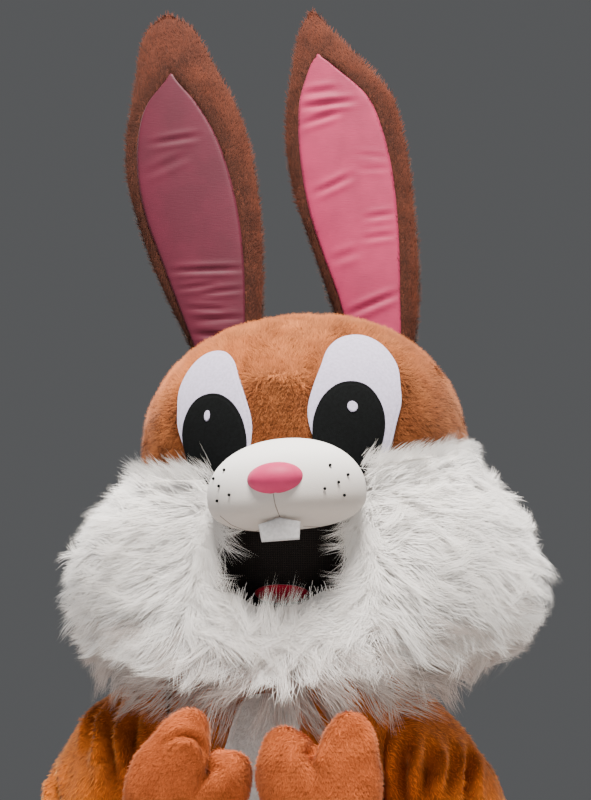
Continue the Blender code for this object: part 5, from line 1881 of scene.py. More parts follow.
def combed(theta, v, group, rng):
    """The way each tuft is combed, its root and the normal there."""
    outer = ruff_surfaces()[0]
    roots, normals = outer.at(theta / (2 * math.pi) % 1.0, v)
    if group.inward:
        goal, _ = outer.at(np.array([MOUTH_LOW.turn / (2 * math.pi)]), np.array([MOUTH_LOW.drop]))
        upward = np.array((0.0, 0.0, 0.22)) * ease((v - 0.58) / 0.1)[:, None]
        way = tangent(goal - roots + upward, normals)
        spread = rng.normal(0, INWARD_SPREAD / group.inward ** 2, len(roots))
        return turned(way, normals, spread), roots, normals
    away = tangent(roots - MOUTH_MIDDLE, normals)
    behind = ease((roots[:, 1:2] + 0.05) / 0.2)
    away = away + np.array((0.0, 0.0, 1.0)) * (group.rise - 0.30 * ease((v - 0.35) / 0.3)[:, None])
    away = away * (1 - behind) + behind * np.array((0.0, 0.25, -1.0))
    sideways = np.sign(roots[:, 0:1] - MOUTH_MIDDLE[0]) * (1 - behind) * group.side
    away[:, 0:1] += sideways
    bend = sum(turn * ripple(roots, size, seed) for turn, size, seed in COMB_BENDS)
    bend = bend + rng.normal(0, COMB_SPREAD, len(roots))
    return turned(tangent(away, normals), normals, bend), roots, normals


def off_mouth(theta, v):
    """From 0 at the open mouth's rim to 1 where the fur is free to lie over."""
    turn = from_front(theta)
    top = ruff_tops(turn)
    aside = np.minimum(np.abs(turn - MOUTH.left), np.abs(turn - MOUTH.right)) / 0.15
    aside = np.where(v < -MOUTH.drop / RUFF_LIP.front, aside, 1.0)
    return ease(np.minimum(aside, np.where(top > 0, (v - top) / 0.10, 1.0)))


def off_face(paths, upright, widths, tones, by_muzzle, by_eyes):
    """Only the strands that root clear of the muzzle and the eyes."""
    kept = ~on_muzzle(paths[:, 0], by_muzzle) & ~on_eyes(paths[:, 0], by_eyes)
    return paths[kept], upright[kept], widths.ravel()[kept], tones.ravel()[kept]


def tufts_of(start, end, group, sizes, rng):
    """Paths, normals, widths and tones of one group's strands on one piece."""
    steps = (max(int((end - start) * 26), 12), 44)
    facing = sample(ruff_outer, steps, across=(start, end), along=(group.low, group.high))
    each = sizes.ruff_strands
    close = group.close * sizes.ruff_closeness * (BACK_CLOSENESS if start == CHEEK_END else 1.0)
    tufts = int(close / each * facing.cells()[0].sum())
    u, v = facing.scatter(tufts, rng, lambda points: np.where(points[..., 1] < 0.02, 1.0, 0.45))
    theta, v = mix(start, end, u), mix(group.low, group.high, v)
    kept = allowed(theta, v, group)
    theta, v = theta[kept], v[kept]
    way, roots, normals = combed(theta, v, group, rng)
    tufts = len(theta)
    turn_step, down_step = fur_step(theta, v, way)
    turn_side, down_side = fur_step(theta, v, np.cross(normals, way))

    shape = (tufts, each)
    share = np.linspace(0, 1, group.levels)
    reach = group.length * sizes.ruff_length * rng.uniform(*TUFT_LENGTHS, tufts)[:, None]
    if not group.inward:
        reach = reach * (0.30 + 0.70 * off_mouth(theta, v)[:, None])
    length = reach * rng.uniform(*STRAND_LENGTHS, shape)
    offset = rng.normal(0, group.tuft, shape)[..., None]
    curl = rng.normal(0, 0.16, tufts)[:, None, None] + rng.normal(0, 0.07, shape)[..., None]
    stray = rng.normal(0, 0.005, shape)[..., None] * share ** 2
    across = offset * (1 - group.gather * share ** 0.8) + curl * length[..., None] * share ** 2 + stray
    ahead = rng.normal(0, 0.010, shape)[..., None] * (1 - share) + length[..., None] * share ** 1.12
    path_theta = (theta[:, None, None] + turn_step[:, None, None] * ahead
                  + turn_side[:, None, None] * across)
    path_v = v[:, None, None] + down_step[:, None, None] * ahead + down_side[:, None, None] * across
    bend = group.reach - HEM_ROOM
    room = HEM_ROOM * rng.uniform(0.6, 1.25, tufts)[:, None, None]
    path_v = np.where(path_v > bend, bend + room * np.tanh((path_v - bend) / room), path_v)
    flick = ease(np.sum(unit(roots - MOUTH_MIDDLE) * normals, axis=1)) ** 2 * FLICK
    tips = group.deep + (rng.uniform(*TIP_DEPTHS, tufts) - flick)[:, None, None]
    lower = LEFT_DEEPER * ease(roots[:, 0] / 0.25)[:, None, None]
    tips = tips + rng.normal(0, 0.07, shape)[..., None] + lower
    sunk = 0.55 if group.inward == 1.0 else 0.95
    depth = (1 - share) ** 1.3 * sunk + tips * share ** 1.1 - 0.12 * np.sin(math.pi * share)
    lift = 0.003 + (0.008 + 0.010 * rng.random(shape)[..., None]) * share
    paths, upright = fur_path(path_theta, path_v, depth, lift)

    # Painted shade: strands are darker towards the hem; the ripple is the fur's own uneven tone.
    shade = group.tone - 0.30 * ease((v - 0.70) / 0.2) + 0.07 * ripple(roots, 0.05, 80)
    tones = shade[:, None] + rng.normal(0, 0.07, shape)
    widths = rng.uniform(0.70, 1.30, shape) * sizes.ruff_width * group.wide
    paths = paths.reshape(-1, len(share), 3)
    upright = unit(upright.mean(axis=2)).reshape(-1, 3)
    return off_face(paths, upright, widths, tones, 0.006, 0.004)


def crest_tufts(start, end, sizes, rng):
    """Tufts that stand up from the head's seam over the brown pile, and lie lower further down."""
    outer = ruff_surfaces()[0]
    tufts = int(CREST.tufts * sizes.ruff_closeness * (end - start) * FACE_RADIUS)
    theta, v = start + (end - start) * rng.random(tufts), CREST.band * rng.random(tufts) ** 1.5
    roots, normals = outer.at(theta / (2 * math.pi) % 1.0, v)
    low = (v / CREST.band)[:, None]
    out = unit(unit(roots - np.array(HEAD_CENTRE)) * (1 - low) + normals * low)
    roots = roots - normals * 0.016 * low
    front, ahead = ease(0.5 + 0.9 * np.cos(theta))[:, None], np.maximum(np.cos(theta), 0.0)[:, None]
    up = tangent(np.array((0.0, 0.0, 1.0)), out)
    beside = tangent(np.sign(roots[:, 0:1] - MOUTH_MIDDLE[0]) * np.array((1.0, 0.0, 0.0)), out)
    rise = rng.uniform(*CREST.rise, tufts)[:, None] * front * (0.4 + 0.6 * ahead)
    way = up * (rise * (1 - 0.7 * low) - 0.5 * (1 - front))
    way = unit(way + beside * (rng.uniform(*CREST.side, tufts)[:, None] * ahead + 0.5 * low)
               + out * rng.uniform(*CREST.out, tufts)[:, None])
    shape = (tufts, CREST.strands)
    share = np.linspace(0, 1, CREST.levels)[None, None, :, None]
    length = CREST.length * sizes.ruff_length * rng.uniform(0.55, 1.15, tufts)[:, None]
    length = length * (0.55 + 0.45 * ahead) * (1 - 0.25 * ease(roots[:, 0:1] / 0.2))
    length = (length * rng.uniform(0.6, 1.1, shape))[..., None, None]
    jitter = rng.normal(0, CREST.tuft, (*shape, 1, 3))
    bend = (out[:, None, None, :] * 0.10 + beside[:, None, None, :] * 0.12
            + rng.normal(0, 0.07, (tufts, 1, 1, 3)) + rng.normal(0, 0.05, (*shape, 1, 3)))
    paths = (roots[:, None, None, :] + jitter * (1 - CREST.gather * share)
             + way[:, None, None, :] * length * share + bend * length * share ** 2)
    paths = clear_of_head(paths, 0.001 + 0.006 * share[..., 0])
    tones = 0.86 + rng.normal(0, 0.08, shape)
    widths = rng.uniform(0.7, 1.3, shape) * sizes.ruff_width * CREST.wide
    paths = paths.reshape(-1, CREST.levels, 3)
    upright = np.repeat(out, CREST.strands, axis=0)
    return off_face(paths, upright, widths, tones, 0.004, 0.012)


def allowed(theta, v, group):
    """Which tufts root on the fur: not in the open mouth, and at its rim where they comb inward."""
    turn = from_front(theta)
    top = ruff_tops(turn)
    found = v > top
    if group.inward:
        beside = (turn > MOUTH.left) & (turn < MOUTH.left + 0.09) & (v < 0.62)
        beside |= (turn < MOUTH.right) & (turn > MOUTH.right - 0.07) & (v < 0.62)
        below = (turn > MOUTH.right) & (turn < MOUTH.left) & (v < top + 0.07)
        found &= beside | below
    return found


def build_ruff(sizes):
    for number, (name, start, end) in enumerate(RUFF_PIECES):
        steps = (max(int((end - start) * 22), 20), 34)
        ground = sample(ruff_backing(name), steps, across=(start, end))
        shell = cloth("ground_" + name, ground, FUR_BACKING, fur_backing())
        sewn(ground, [name])

        rng = np.random.default_rng(60 + number)
        made = {}
        for group in FUR_GROUPS:
            if not group.inward or name != "ruff_back":
                made.setdefault(group.levels, []).append(tufts_of(start, end, group, sizes, rng))
        if name != "ruff_chin":
            made.setdefault(CREST.levels, []).append(crest_tufts(start, end, sizes, rng))
        for levels, parts in made.items():
            paths, upright, widths, tones = (np.concatenate(part) for part in zip(*parts))
            label = ("under_fur_" if levels == 3 else "fur_") + name
            fur = strands(label, paths, upright, widths, np.clip(tones, *TONES), long_fur(),
                          FUR_SOFTNESS)


# ---- Suit ---------------------------------------------------------------------------------------

TORSO_FOLDS = (
    (0.04, 0.30, 0.10, 0.62, 0.010, 0.016, 0.010, 0.004),
    (-0.05, 0.34, -0.12, 0.66, -0.010, 0.016, 0.010, 0.004),
    (0.17, 0.30, 0.15, 0.75, 0.010, 0.018, 0.012, 0.005),
    (-0.17, 0.32, -0.14, 0.78, -0.012, 0.018, 0.011, 0.005),
    (0.30, 0.35, 0.33, 0.80, 0.010, 0.020, 0.012, 0.005),
    (0.42, 0.28, 0.40, 0.72, -0.010, 0.018, 0.010, 0.004),
    (0.58, 0.30, 0.61, 0.70, 0.010, 0.018, 0.010, 0.004),
    (0.70, 0.34, 0.67, 0.82, -0.010, 0.020, 0.012, 0.005),
)
TORSO_ROUND = (112, 68)


def in_sleeve(points, share=0.86):
    """Which points lie inside the top of a sleeve."""
    found = np.zeros(len(points), dtype=bool)
    for side in ARMS:
        for place in np.linspace(0.02, 0.34, 22):
            row = ARMS[side].at(place)
            gap = np.linalg.norm(points - np.array((row.x, row.y, row.z)), axis=1)
            found |= gap < row.radius * share
    return found


def in_torso(points, margin):
    """Which points lie inside the suit's body, less a margin at its face."""
    heights, *columns = zip(*TORSO.rows[::-1])
    half_width, half_depth, middle = (np.interp(points[:, 2], heights, column) for column in columns)
    size = (np.abs(points[:, 0]) / (half_width - margin)) ** TORSO_SQUARENESS
    size += (np.abs(points[:, 1] - middle) / (half_depth - margin)) ** TORSO_SQUARENESS
    return (size < 1) & (points[:, 2] < heights[-1]) & (points[:, 2] > heights[0])


def on_belly(points):
    """Which points of the suit's front lie under the white front, less a margin at its edge."""
    across, heights = zip(*BELLY_OUTLINE.rows[::-1])
    half = np.interp(points[:, 2], heights, across, left=0, right=0) - BELLY_MARGIN
    return (np.abs(points[:, 0] - BELLY_SHIFT) < half) & (points[:, 1] < 0)


def suit_weight(points):
    """The pile is drawn closest on the shoulders and upper sleeves."""
    return np.where((points[..., 2] > -0.34) & (points[..., 1] < 0.12), 1.0, 0.34)


def build_torso(sizes):
    round_body = sample(torso, TORSO_ROUND, across=(-0.25, 0.75)).moved(-SUIT_NAP)
    shifted = tuple((row[0] + 0.25, row[1], row[2] + 0.25, *row[3:]) for row in TORSO_FOLDS)
    round_body = folded(round_body, shifted, 0.003, 15)
    parts = (("torso_front", 0.0, 0.5, 0.75), ("torso_back_left", 0.5, 0.75, 0.35),
             ("torso_back_right", 0.75, 1.0, 0.35))
    for number, (name, start, end, close) in enumerate(parts):
        panel = round_body.part(start, end)
        plush_panel(name, panel, GOLDEN_PLUSH, int(close * sizes.suit_strands * panel.cells()[0].sum()),
                    SUIT_LOOK, downward, 90 + number, inside=in_sleeve,
                    keep=lambda points: ~in_sleeve(points, 0.95) & ~on_belly(points), weight=suit_weight)


def build_belly(sizes):
    raised_torso = lifted(torso, BELLY_PLUSH - BELLY_NAP)

    def place(u, v):
        row = BELLY_OUTLINE.at(v)
        across = row.across if 0 < v < 1 else 0.0
        return raised_torso(*torso_place(BELLY_SHIFT + mix(-1, 1, u) * across, row.height))
    plush_panel("belly_patch", sample(place, (36, 64), hint=(0, -1, 0)), FLEECE, sizes.belly_strands,
                BELLY_LOOK, downward, 97, "laid",
                weight=lambda points: np.where(points[..., 2] > -0.26, 1.0, 0.5))


def build_zip_flap():
    def flap(u, v):
        return lifted(torso, FLAP_THICK)(0.5 + mix(-1, 1, u) * FLAP_TURN, mix(*FLAP_REACH, v))
    strip = rolled(sample(flap, (8, 60), hint=(0, 1, 0)), ["u0", "u1", "v0", "v1"], 0.003, 0.002)
    shell = cloth("cloth_zip_flap", strip, BACKING, GOLDEN_PLUSH.ground())
    sewn(strip, ["zip_flap"])


def build_tail(sizes):
    row = TORSO.at(TAIL_PLACE)
    radius = TAIL_RADIUS - TAIL_NAP

    def tail(u, v):
        turn, out = 2 * math.pi * u, math.pi * v
        return Vector((radius * math.sin(out) * math.sin(turn),
                       row.middle + row.half_depth + TAIL_STAND + radius * math.cos(out),
                       row.height + radius * math.sin(out) * math.cos(turn)))
    ball = sample(tail, (48, 28))
    padded_piece("padded_tail", ball, FLEECE.ground(), "tail")
    pile("pile_tail", ball, sizes.tail_strands, FLEECE, TAIL_LOOK, downward, 99,
         keep=lambda points: ~in_torso(points, 0.0))


def build_suit(sizes):
    build_torso(sizes)
    build_belly(sizes)
    build_zip_flap()
    build_tail(sizes)


# Folds over each sleeve: places are turns from its top seam and shares along the whole arm.
SLEEVE_FOLDS = {
    "right": (
        (0.970, 0.185, 0.875, 0.262, 0.000, 0.009, 0.01755, 0.01080),
        (0.942, 0.165, 0.742, 0.318, -0.030, 0.010, 0.02430, 0.01215),
        (0.867, 0.140, 0.755, 0.222, -0.010, 0.009, 0.02025, 0.00810),
        (0.822, 0.254, 0.812, 0.282, 0.000, 0.007, 0.01485, 0.00405),
        (0.975, 0.330, 0.895, 0.378, 0.000, 0.009, 0.01485, 0.00810),
        (0.700, 0.180, 0.660, 0.340, 0.010, 0.011, 0.01755, 0.00675),
        (0.10, 0.22, 0.14, 0.46, 0.010, 0.014, 0.01485, 0.00675),
        (0.26, 0.20, 0.24, 0.50, -0.010, 0.015, 0.01620, 0.00675),
        (0.40, 0.26, 0.44, 0.52, 0.010, 0.014, 0.01485, 0.00675),
        (0.52, 0.46, 0.90, 0.50, 0.000, 0.013, 0.01890, 0.00810),
        (0.50, 0.56, 0.86, 0.60, 0.000, 0.013, 0.01755, 0.00810),
        (0.05, 0.62, 0.40, 0.66, 0.000, 0.013, 0.01350, 0.00675),
        (0.60, 0.72, 0.95, 0.74, 0.000, 0.012, 0.01350, 0.00675),
        (0.10, 0.80, 0.45, 0.84, 0.000, 0.011, 0.01215, 0.00540),
    ),
    "left": (
        (0.185, 0.155, 0.292, 0.284, 0.010, 0.009, 0.02025, 0.00810),
        (0.150, 0.210, 0.232, 0.294, 0.000, 0.009, 0.02160, 0.01080),
        (0.028, 0.245, 0.128, 0.354, 0.010, 0.009, 0.02295, 0.01215),
        (0.095, 0.235, 0.170, 0.322, 0.000, 0.008, 0.01080, 0.00540),
        (0.340, 0.200, 0.380, 0.420, 0.010, 0.012, 0.01620, 0.00675),
        (0.92, 0.24, 0.88, 0.46, 0.010, 0.014, 0.01485, 0.00675),
        (0.76, 0.22, 0.78, 0.50, -0.010, 0.015, 0.01620, 0.00675),
        (0.62, 0.26, 0.58, 0.52, 0.010, 0.014, 0.01485, 0.00675),
        (0.12, 0.48, 0.48, 0.51, 0.000, 0.013, 0.01890, 0.00810),
        (0.14, 0.57, 0.50, 0.61, 0.000, 0.013, 0.01755, 0.00810),
        (0.60, 0.63, 0.95, 0.66, 0.000, 0.013, 0.01350, 0.00675),
        (0.08, 0.72, 0.42, 0.75, 0.000, 0.012, 0.01350, 0.00675),
        (0.55, 0.80, 0.90, 0.84, 0.000, 0.011, 0.01215, 0.00540),
    ),
}


SLEEVE_PAINTED_LIGHT = {"right": -0.06, "left": 0.30}   # painted light and shade: how much paler than its dye each sleeve's pile is painted
CREASE_DEPTH = 0.012       # folds this deep get the darkest painted shade


def along_sleeve(place):
    """A place along the whole arm, as a share of the sleeve alone."""
    return (place - SLEEVE_START) / (1 - SLEEVE_START)


def build_sleeve(side, order, sizes):
    plain = sample(arm(side), (92, 84), along=(SLEEVE_START, 1.0)).moved(-SUIT_NAP)
    rows = [(row[0], along_sleeve(row[1]), row[2], along_sleeve(row[3]), *row[4:])
            for row in SLEEVE_FOLDS[side]]
    tube = folded(plain, rows, 0.003, 20 + order)
    creased = painted_fold_light_and_shade(plain, tube, CREASE_DEPTH)
    stations = [ARMS[side].at(place) for place in np.linspace(0, 1, 41)]
    line = np.array([(row.x, row.y, row.z) for row in stations])

    # The pile's tone: painted shade in the folds, painted light on their ridges, and each sleeve's painted
    # light.
    def tone(points):
        return creased(points) + SLEEVE_PAINTED_LIGHT[side]

    def along(points):
        near = np.linalg.norm(points[:, None] - line[None], axis=2).argmin(axis=1)
        return np.gradient(line, axis=0)[near]
    halves = ("back", "front") if side == "right" else ("front", "back")
    for half, start in zip(halves, (0.0, 0.5)):
        panel = tube.part(start, start + 0.5)
        plush_panel("sleeve_{}_{}".format(side, half), panel, GOLDEN_PLUSH,
                    int(sizes.suit_strands * panel.cells()[0].sum()), SUIT_LOOK, along,
                    110 + 10 * order + (half == "back"),
                    inside=lambda points: in_torso(points, 0.016),
                    keep=lambda points: ~in_torso(points, 0.006), weight=suit_weight, paler=tone)


def build_sleeves(sizes):
    for order, side in enumerate(("right", "left")):
        build_sleeve(side, order, sizes)


LEG_FOLDS = (
    (0.20, 0.05, 0.24, 0.35, 0.010, 0.014, 0.010, 0.004),
    (0.32, 0.10, 0.30, 0.50, -0.010, 0.014, 0.009, 0.004),
    (0.10, 0.20, 0.12, 0.70, 0.010, 0.015, 0.010, 0.004),
    (0.42, 0.30, 0.40, 0.80, 0.010, 0.014, 0.009, 0.004),
    (0.62, 0.10, 0.66, 0.55, 0.010, 0.015, 0.010, 0.004),
    (0.78, 0.15, 0.76, 0.70, -0.010, 0.015, 0.010, 0.004),
    (0.90, 0.30, 0.92, 0.80, 0.010, 0.014, 0.009, 0.004),
    (0.12, 0.86, 0.42, 0.90, 0.000, 0.012, 0.009, 0.004),
    (0.15, 0.93, 0.48, 0.95, 0.000, 0.011, 0.008, 0.004),
    (0.60, 0.88, 0.92, 0.92, 0.000, 0.012, 0.009, 0.004),
)


LEG_CLOSENESS = 0.20       # the legs' pile is drawn less close than the body's


def build_legs(sizes):
    for order, side in enumerate(("right", "left")):
        tube = sample(leg(side), (60, 52)).moved(-SUIT_NAP)
        tube = folded(tube, LEG_FOLDS, 0.003, 30 + order)
        for half, start in (("front", 0.0), ("back", 0.5)):
            panel = tube.part(start, start + 0.5)
            plush_panel("leg_{}_{}".format(side, half), panel, GOLDEN_PLUSH,
                        int(sizes.suit_strands * LEG_CLOSENESS * panel.cells()[0].sum()), SUIT_LOOK,
                        downward, 140 + 10 * order + (half == "back"))


# ---- Mittens and foot covers --------------------------------------------------------------------

WRIST_FOLD = (0.42, 0.98, 0.36, 0.45, 0.010, 0.008, 0.009, 0.004)
MITTEN_FOLDS = {
    "right_back": (
        (0.60, 0.62, 0.462, 0.47, 0.000, 0.0042, 0.0080, 0.0030),
        WRIST_FOLD,
        (0.86, 0.95, 0.92, 0.55, 0.010, 0.010, 0.007, 0.003),
        (0.70, 0.80, 0.74, 0.40, 0.010, 0.011, 0.005, 0.002),
    ),
    "right_palm": (WRIST_FOLD,),
    "left_back": (
        WRIST_FOLD,
        (0.88, 0.95, 0.84, 0.55, 0.010, 0.010, 0.007, 0.003),
        (0.66, 0.80, 0.70, 0.40, 0.010, 0.011, 0.005, 0.002),
    ),
    "left_palm": (WRIST_FOLD,),
}
PALM_SHARE = 0.3           # strands on a palm, as a share of those on the back


def build_mittens(sizes):
    for order, side in enumerate(("right", "left")):
        hand = MITTENS[side]

        def brushed(points):
            return -0.6 * np.array(hand.up) + 2.0 * (points - np.array(hand.centre))
        for half, facing, share in (("back", 1, 1.0), ("palm", -1, PALM_SHARE)):
            label = "{}_{}".format(side, half)
            form = sample(mitten_half(side, facing), (104, 22), hint=np.array(hand.back) * facing)
            face_side = folded(form.moved(-MITTEN_NAP), MITTEN_FOLDS[label], 0.0018, 50 + order)
            plush_panel("mitten_" + label, face_side, MITTEN_PLUSH, int(share * sizes.mitten_strands),
                        MITTEN_LOOK, brushed, 160 + 10 * order + (half == "palm"), "stretched")


ANKLE_FOLDS = (
    (0.90, 0.55, 1.10, 0.60, 0.0, 0.010, 0.008, 0.004),
    (0.92, 0.68, 1.08, 0.72, 0.0, 0.010, 0.007, 0.003),
)
SOLE_CLEAR = 0.012         # no pile grows this low on a foot


def build_feet(sizes):
    for order, side in enumerate(("right", "left")):
        upper = sample(foot(side), (60, 28)).moved(-SUIT_NAP)
        upper = folded(upper, ANKLE_FOLDS, 0.002, 55 + order)
        name = "foot_{}_upper".format(side)
        shell = cloth("cloth_" + name, upper, BACKING, BROWN_PLUSH.ground())
        sewn(upper, [name])
        low = upper.points[..., 2].min() + SOLE_CLEAR
        pile("pile_foot_" + side, upper, sizes.foot_strands, BROWN_PLUSH, SUIT_LOOK, downward,
             180 + order, keep=lambda points: points[:, 2] > low)
        sole = frame["nodes"]["foot_{}_sole".format(side)]
        sole.data.materials.clear()
        sole.data.materials.append(foam_sole())


# ---- Stage --------------------------------------------------------------------------------------

VIEW_TURN = math.radians(9.22)        # the camera stands towards the wearer's left
VIEW_RISE = math.radians(6.5)
VIEW_STAND = Vector((0.3961, -2.3671, 0.15))
LENS = 46.08
SENSOR = 24.0


def area_light(name, place, target, size, power, colour):
    data = bpy.data.lights.new(name, "AREA")
    data.shape = "DISK"
    data.size = size
    data.energy = power
    data.color = linear(colour)
    lamp = bpy.data.objects.new(name, data)
    lamp.location = place
    lamp.rotation_euler = (Vector(target) - Vector(place)).to_track_quat("-Z", "Y").to_euler()
    bpy.context.scene.collection.objects.link(lamp)


def build_stage(stage):
    floor = bmesh.new()
    bmesh.ops.create_grid(floor, x_segments=1, y_segments=1, size=stage.floor_size / 2,
                          matrix=Matrix.Translation((0, 0, FLOOR - 0.0005)))
    data = bpy.data.meshes.new("studio_floor")
    floor.to_mesh(data)
    floor.free()
    data.materials.append(studio_floor())
    ground = bpy.data.objects.new("studio_floor", data)
    bpy.context.scene.collection.objects.link(ground)

    area_light("key", (0.35, -1.9, 5.1), (0.0, 0.0, 0.25), 2.4, stage.key_power, "#FFF8F0")
    area_light("fill", (-2.4, -2.4, 1.2), (0.0, 0.0, 0.1), 2.2, stage.fill_power, "#F6F7FF")
    area_light("fill_low", (2.3, -2.4, 0.1), (0.0, 0.0, -0.2), 2.0, stage.fill_power, "#FFF8F0")
    area_light("rim_right", (-1.7, 1.5, 1.6), (0.0, 0.0, 0.2), 1.2, stage.rim_power, "#FFFFFF")
    area_light("rim_left", (1.9, 1.4, 1.3), (0.0, 0.0, 0.2), 1.2, stage.rim_power, "#FFFFFF")

    world = bpy.context.scene.world or bpy.data.worlds.new("studio")
    bpy.context.scene.world = world
    world.use_nodes = True
    ground_light = world.node_tree.nodes["Background"]
    ground_light.inputs["Color"].default_value = (*linear("#C6C8CB"), 1.0)
    ground_light.inputs["Strength"].default_value = stage.world_power

    data = bpy.data.cameras.new("camera")
    data.sensor_fit = "VERTICAL"
    data.sensor_height = SENSOR
    data.lens = LENS
    data.clip_end = 50.0
    camera = bpy.data.objects.new("camera", data)
    camera.location = VIEW_STAND
    camera.rotation_euler = (math.pi / 2 + VIEW_RISE, 0.0, VIEW_TURN)
    bpy.context.scene.collection.objects.link(camera)
    bpy.context.scene.camera = camera


# ---- Settings, operators and panel --------------------------------------------------------------

def colour_property(name, text, description):
    return FloatVectorProperty(name=name, description=description, subtype="COLOR", size=3, min=0.0,
                               max=1.0, default=linear(text))


def strand_count(name, description, default, least=0):
    return IntProperty(name=name, description=description, default=default, min=least)


class RabbitSizes(bpy.types.PropertyGroup):
    """How long and how close each pile is"""
    head_strands: strand_count("Head strands", "Strands of pile on the head", 112000)
    ear_strands: strand_count("Ear strands", "Strands of pile on each ear", 44000)
    ruff_closeness: FloatProperty(name="Ruff closeness", description="How close the ruff's fur stands",
                                  default=1.0, min=0.01, subtype="FACTOR")
    ruff_strands: strand_count("Strands in a tuft", "Strands in each tuft of the ruff", 26, 1)
    ruff_length: FloatProperty(name="Ruff length", description="Length of the ruff's fur, of its own",
                               default=1.0, min=0.2, subtype="FACTOR")
    ruff_width: FloatProperty(name="Ruff strand width", description="Width of a strand of long fur",
                              default=0.0010, min=0.0003, unit="LENGTH")
    suit_strands: strand_count("Suit strands", "Strands to a square metre of the suit", 58000)
    belly_strands: strand_count("Belly strands", "Strands on the white front", 9000)
    tail_strands: strand_count("Tail strands", "Strands on the tail", 2600)
    mitten_strands: strand_count("Mitten strands", "Strands on the back of each mitten", 25000)
    foot_strands: strand_count("Foot strands", "Strands on each foot cover", 6500)


class RabbitColours(bpy.types.PropertyGroup):
    """The dyes of the costume's cloths"""
    brown: colour_property("Brown plush", "#AE6434", "The head and foot covers")
    ear: colour_property("Ear plush", "#532819", "The ears' brushed pile")
    gold: colour_property("Golden plush", "#C4640F", "The suit")
    mitten: colour_property("Mitten plush", "#C0602C", "The mittens")
    fur: colour_property("Long fur", "#F2F0EE", "The ruff")
    fleece: colour_property("Fleece", "#EEEEED", "The muzzle, belly and tail")
    satin: colour_property("Satin", "#94264A", "The ears' fronts and the nose")
    felt: colour_property("Eye felt", "#B4AEC6", "The eyes' whites and glints")
    black: colour_property("Black felt", "#07090A", "The pupils and the soles")
    # the tooth's grey is painted shade under the muzzle
    tooth: colour_property("Tooth felt", "#B6B5B7", "The tooth")
    crimson: colour_property("Crimson felt", "#A8142F", "The tongue")
    net: colour_property("Net thread", "#1C1614", "The net's threads over its dark gaps")


class RabbitStage(bpy.types.PropertyGroup):
    """The floor and the lights"""
    floor_size: FloatProperty(name="Floor", description="Side of the floor", default=14.0, min=1.0,
                              unit="LENGTH")
    key_power: FloatProperty(name="Key light", description="Power of the main light", default=1300.0,
                             min=0.0, unit="POWER")
    fill_power: FloatProperty(name="Fill light", description="Power of the fill light", default=18.0,
                              min=0.0, unit="POWER")
    rim_power: FloatProperty(name="Rim lights", description="Power of each light behind", default=45.0,
                             min=0.0, unit="POWER")
    world_power: FloatProperty(name="Surroundings", description="Strength of the light from all round",
                               default=0.18, min=0.0)


class RABBIT_OT_head(bpy.types.Operator):
    """Strip over the crown and both sides of the head, with their brown pile"""
    bl_idname = "rabbit.head"
    bl_label = "Head"

    def execute(self, context):
        build_head(context.scene.rabbit_sizes)
        return {"FINISHED"}


class RABBIT_OT_ears(bpy.types.Operator):
    """Padded ears and the wrinkled satin in their fronts"""
    bl_idname = "rabbit.ears"
    bl_label = "Ears"

    def execute(self, context):
        build_ears(context.scene.rabbit_sizes)
        return {"FINISHED"}


class RABBIT_OT_eyes(bpy.types.Operator):
    """Three layers of felt for each eye"""
    bl_idname = "rabbit.eyes"
    bl_label = "Eyes"

    def execute(self, context):
        build_eyes(context.scene.rabbit_sizes)
        return {"FINISHED"}


class RABBIT_OT_muzzle(bpy.types.Operator):
    """Fleece muzzle with its seams, nose, whisker dots and tooth"""
    bl_idname = "rabbit.muzzle"
    bl_label = "Muzzle"

    def execute(self, context):
        build_muzzle(context.scene.rabbit_sizes)
        return {"FINISHED"}


class RABBIT_OT_mouth(bpy.types.Operator):
    """See-through net behind the mouth, and the tongue"""
    bl_idname = "rabbit.mouth"
    bl_label = "Mouth"

    def execute(self, context):
        build_mouth(context.scene.rabbit_sizes)
        return {"FINISHED"}


class RABBIT_OT_ruff(bpy.types.Operator):
    """Long white fur round the cheeks, chin and nape"""
    bl_idname = "rabbit.ruff"
    bl_label = "Ruff"

    def execute(self, context):
        build_ruff(context.scene.rabbit_sizes)
        return {"FINISHED"}


class RABBIT_OT_suit(bpy.types.Operator):
    """Body of the suit, its white front, back flap and tail"""
    bl_idname = "rabbit.suit"
    bl_label = "Suit"

    def execute(self, context):
        build_suit(context.scene.rabbit_sizes)
        return {"FINISHED"}


class RABBIT_OT_sleeves(bpy.types.Operator):
    """Sleeves with their folds"""
    bl_idname = "rabbit.sleeves"
    bl_label = "Sleeves"

    def execute(self, context):
        build_sleeves(context.scene.rabbit_sizes)
        return {"FINISHED"}


class RABBIT_OT_legs(bpy.types.Operator):
    """Trouser legs with their folds"""
    bl_idname = "rabbit.legs"
    bl_label = "Legs"

    def execute(self, context):
        build_legs(context.scene.rabbit_sizes)
        return {"FINISHED"}


class RABBIT_OT_mittens(bpy.types.Operator):
    """Mittens, back and palm"""
    bl_idname = "rabbit.mittens"
    bl_label = "Mittens"

    def execute(self, context):
        build_mittens(context.scene.rabbit_sizes)
        return {"FINISHED"}


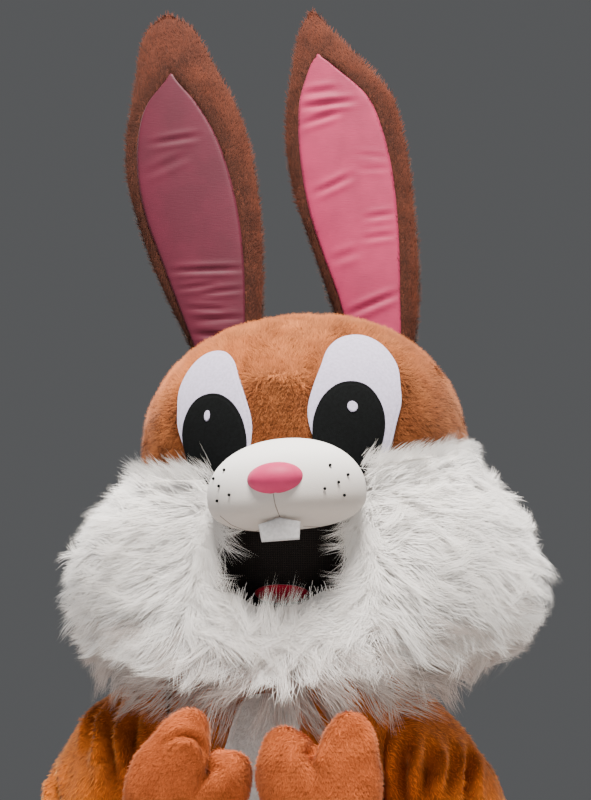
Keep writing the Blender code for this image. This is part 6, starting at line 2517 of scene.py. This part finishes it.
class RABBIT_OT_feet(bpy.types.Operator):
    """Foot covers and the finish of their soles"""
    bl_idname = "rabbit.feet"
    bl_label = "Foot covers"

    def execute(self, context):
        build_feet(context.scene.rabbit_sizes)
        return {"FINISHED"}


class RABBIT_OT_stage(bpy.types.Operator):
    """Pale floor, soft lights and the camera"""
    bl_idname = "rabbit.stage"
    bl_label = "Stage"

    def execute(self, context):
        build_stage(context.scene.rabbit_stage)
        return {"FINISHED"}


OPERATORS = (RABBIT_OT_head, RABBIT_OT_ears, RABBIT_OT_eyes, RABBIT_OT_muzzle, RABBIT_OT_mouth,
             RABBIT_OT_ruff, RABBIT_OT_suit, RABBIT_OT_sleeves, RABBIT_OT_legs, RABBIT_OT_mittens,
             RABBIT_OT_feet, RABBIT_OT_stage)


class RABBIT_PT_panel(bpy.types.Panel):
    """The costume's pieces and settings"""
    bl_label = "Rabbit costume"
    bl_idname = "RABBIT_PT_panel"
    bl_space_type = "VIEW_3D"
    bl_region_type = "UI"
    bl_category = "Rabbit"

    def draw(self, context):
        layout = self.layout
        for operator in OPERATORS:
            layout.operator(operator.bl_idname)
        for settings in (context.scene.rabbit_sizes, context.scene.rabbit_colours,
                         context.scene.rabbit_stage):
            for name in settings.__annotations__:
                layout.prop(settings, name)


SETTINGS = {"rabbit_sizes": RabbitSizes, "rabbit_colours": RabbitColours, "rabbit_stage": RabbitStage}


def register():
    for settings in SETTINGS.values():
        bpy.utils.register_class(settings)
    for name, settings in SETTINGS.items():
        setattr(bpy.types.Scene, name, PointerProperty(type=settings))
    for operator in OPERATORS:
        bpy.utils.register_class(operator)
    bpy.utils.register_class(RABBIT_PT_panel)


def unregister():
    bpy.utils.unregister_class(RABBIT_PT_panel)
    for operator in reversed(OPERATORS):
        bpy.utils.unregister_class(operator)
    for name in SETTINGS:
        delattr(bpy.types.Scene, name)
    for settings in reversed(SETTINGS.values()):
        bpy.utils.unregister_class(settings)


def main():
    register()
    for operator in OPERATORS:
        module, name = operator.bl_idname.split(".")
        if getattr(getattr(bpy.ops, module), name)() != {"FINISHED"}:
            raise RuntimeError(operator.bl_label + " wasn't finished")


if __name__ == "__main__":
    main()
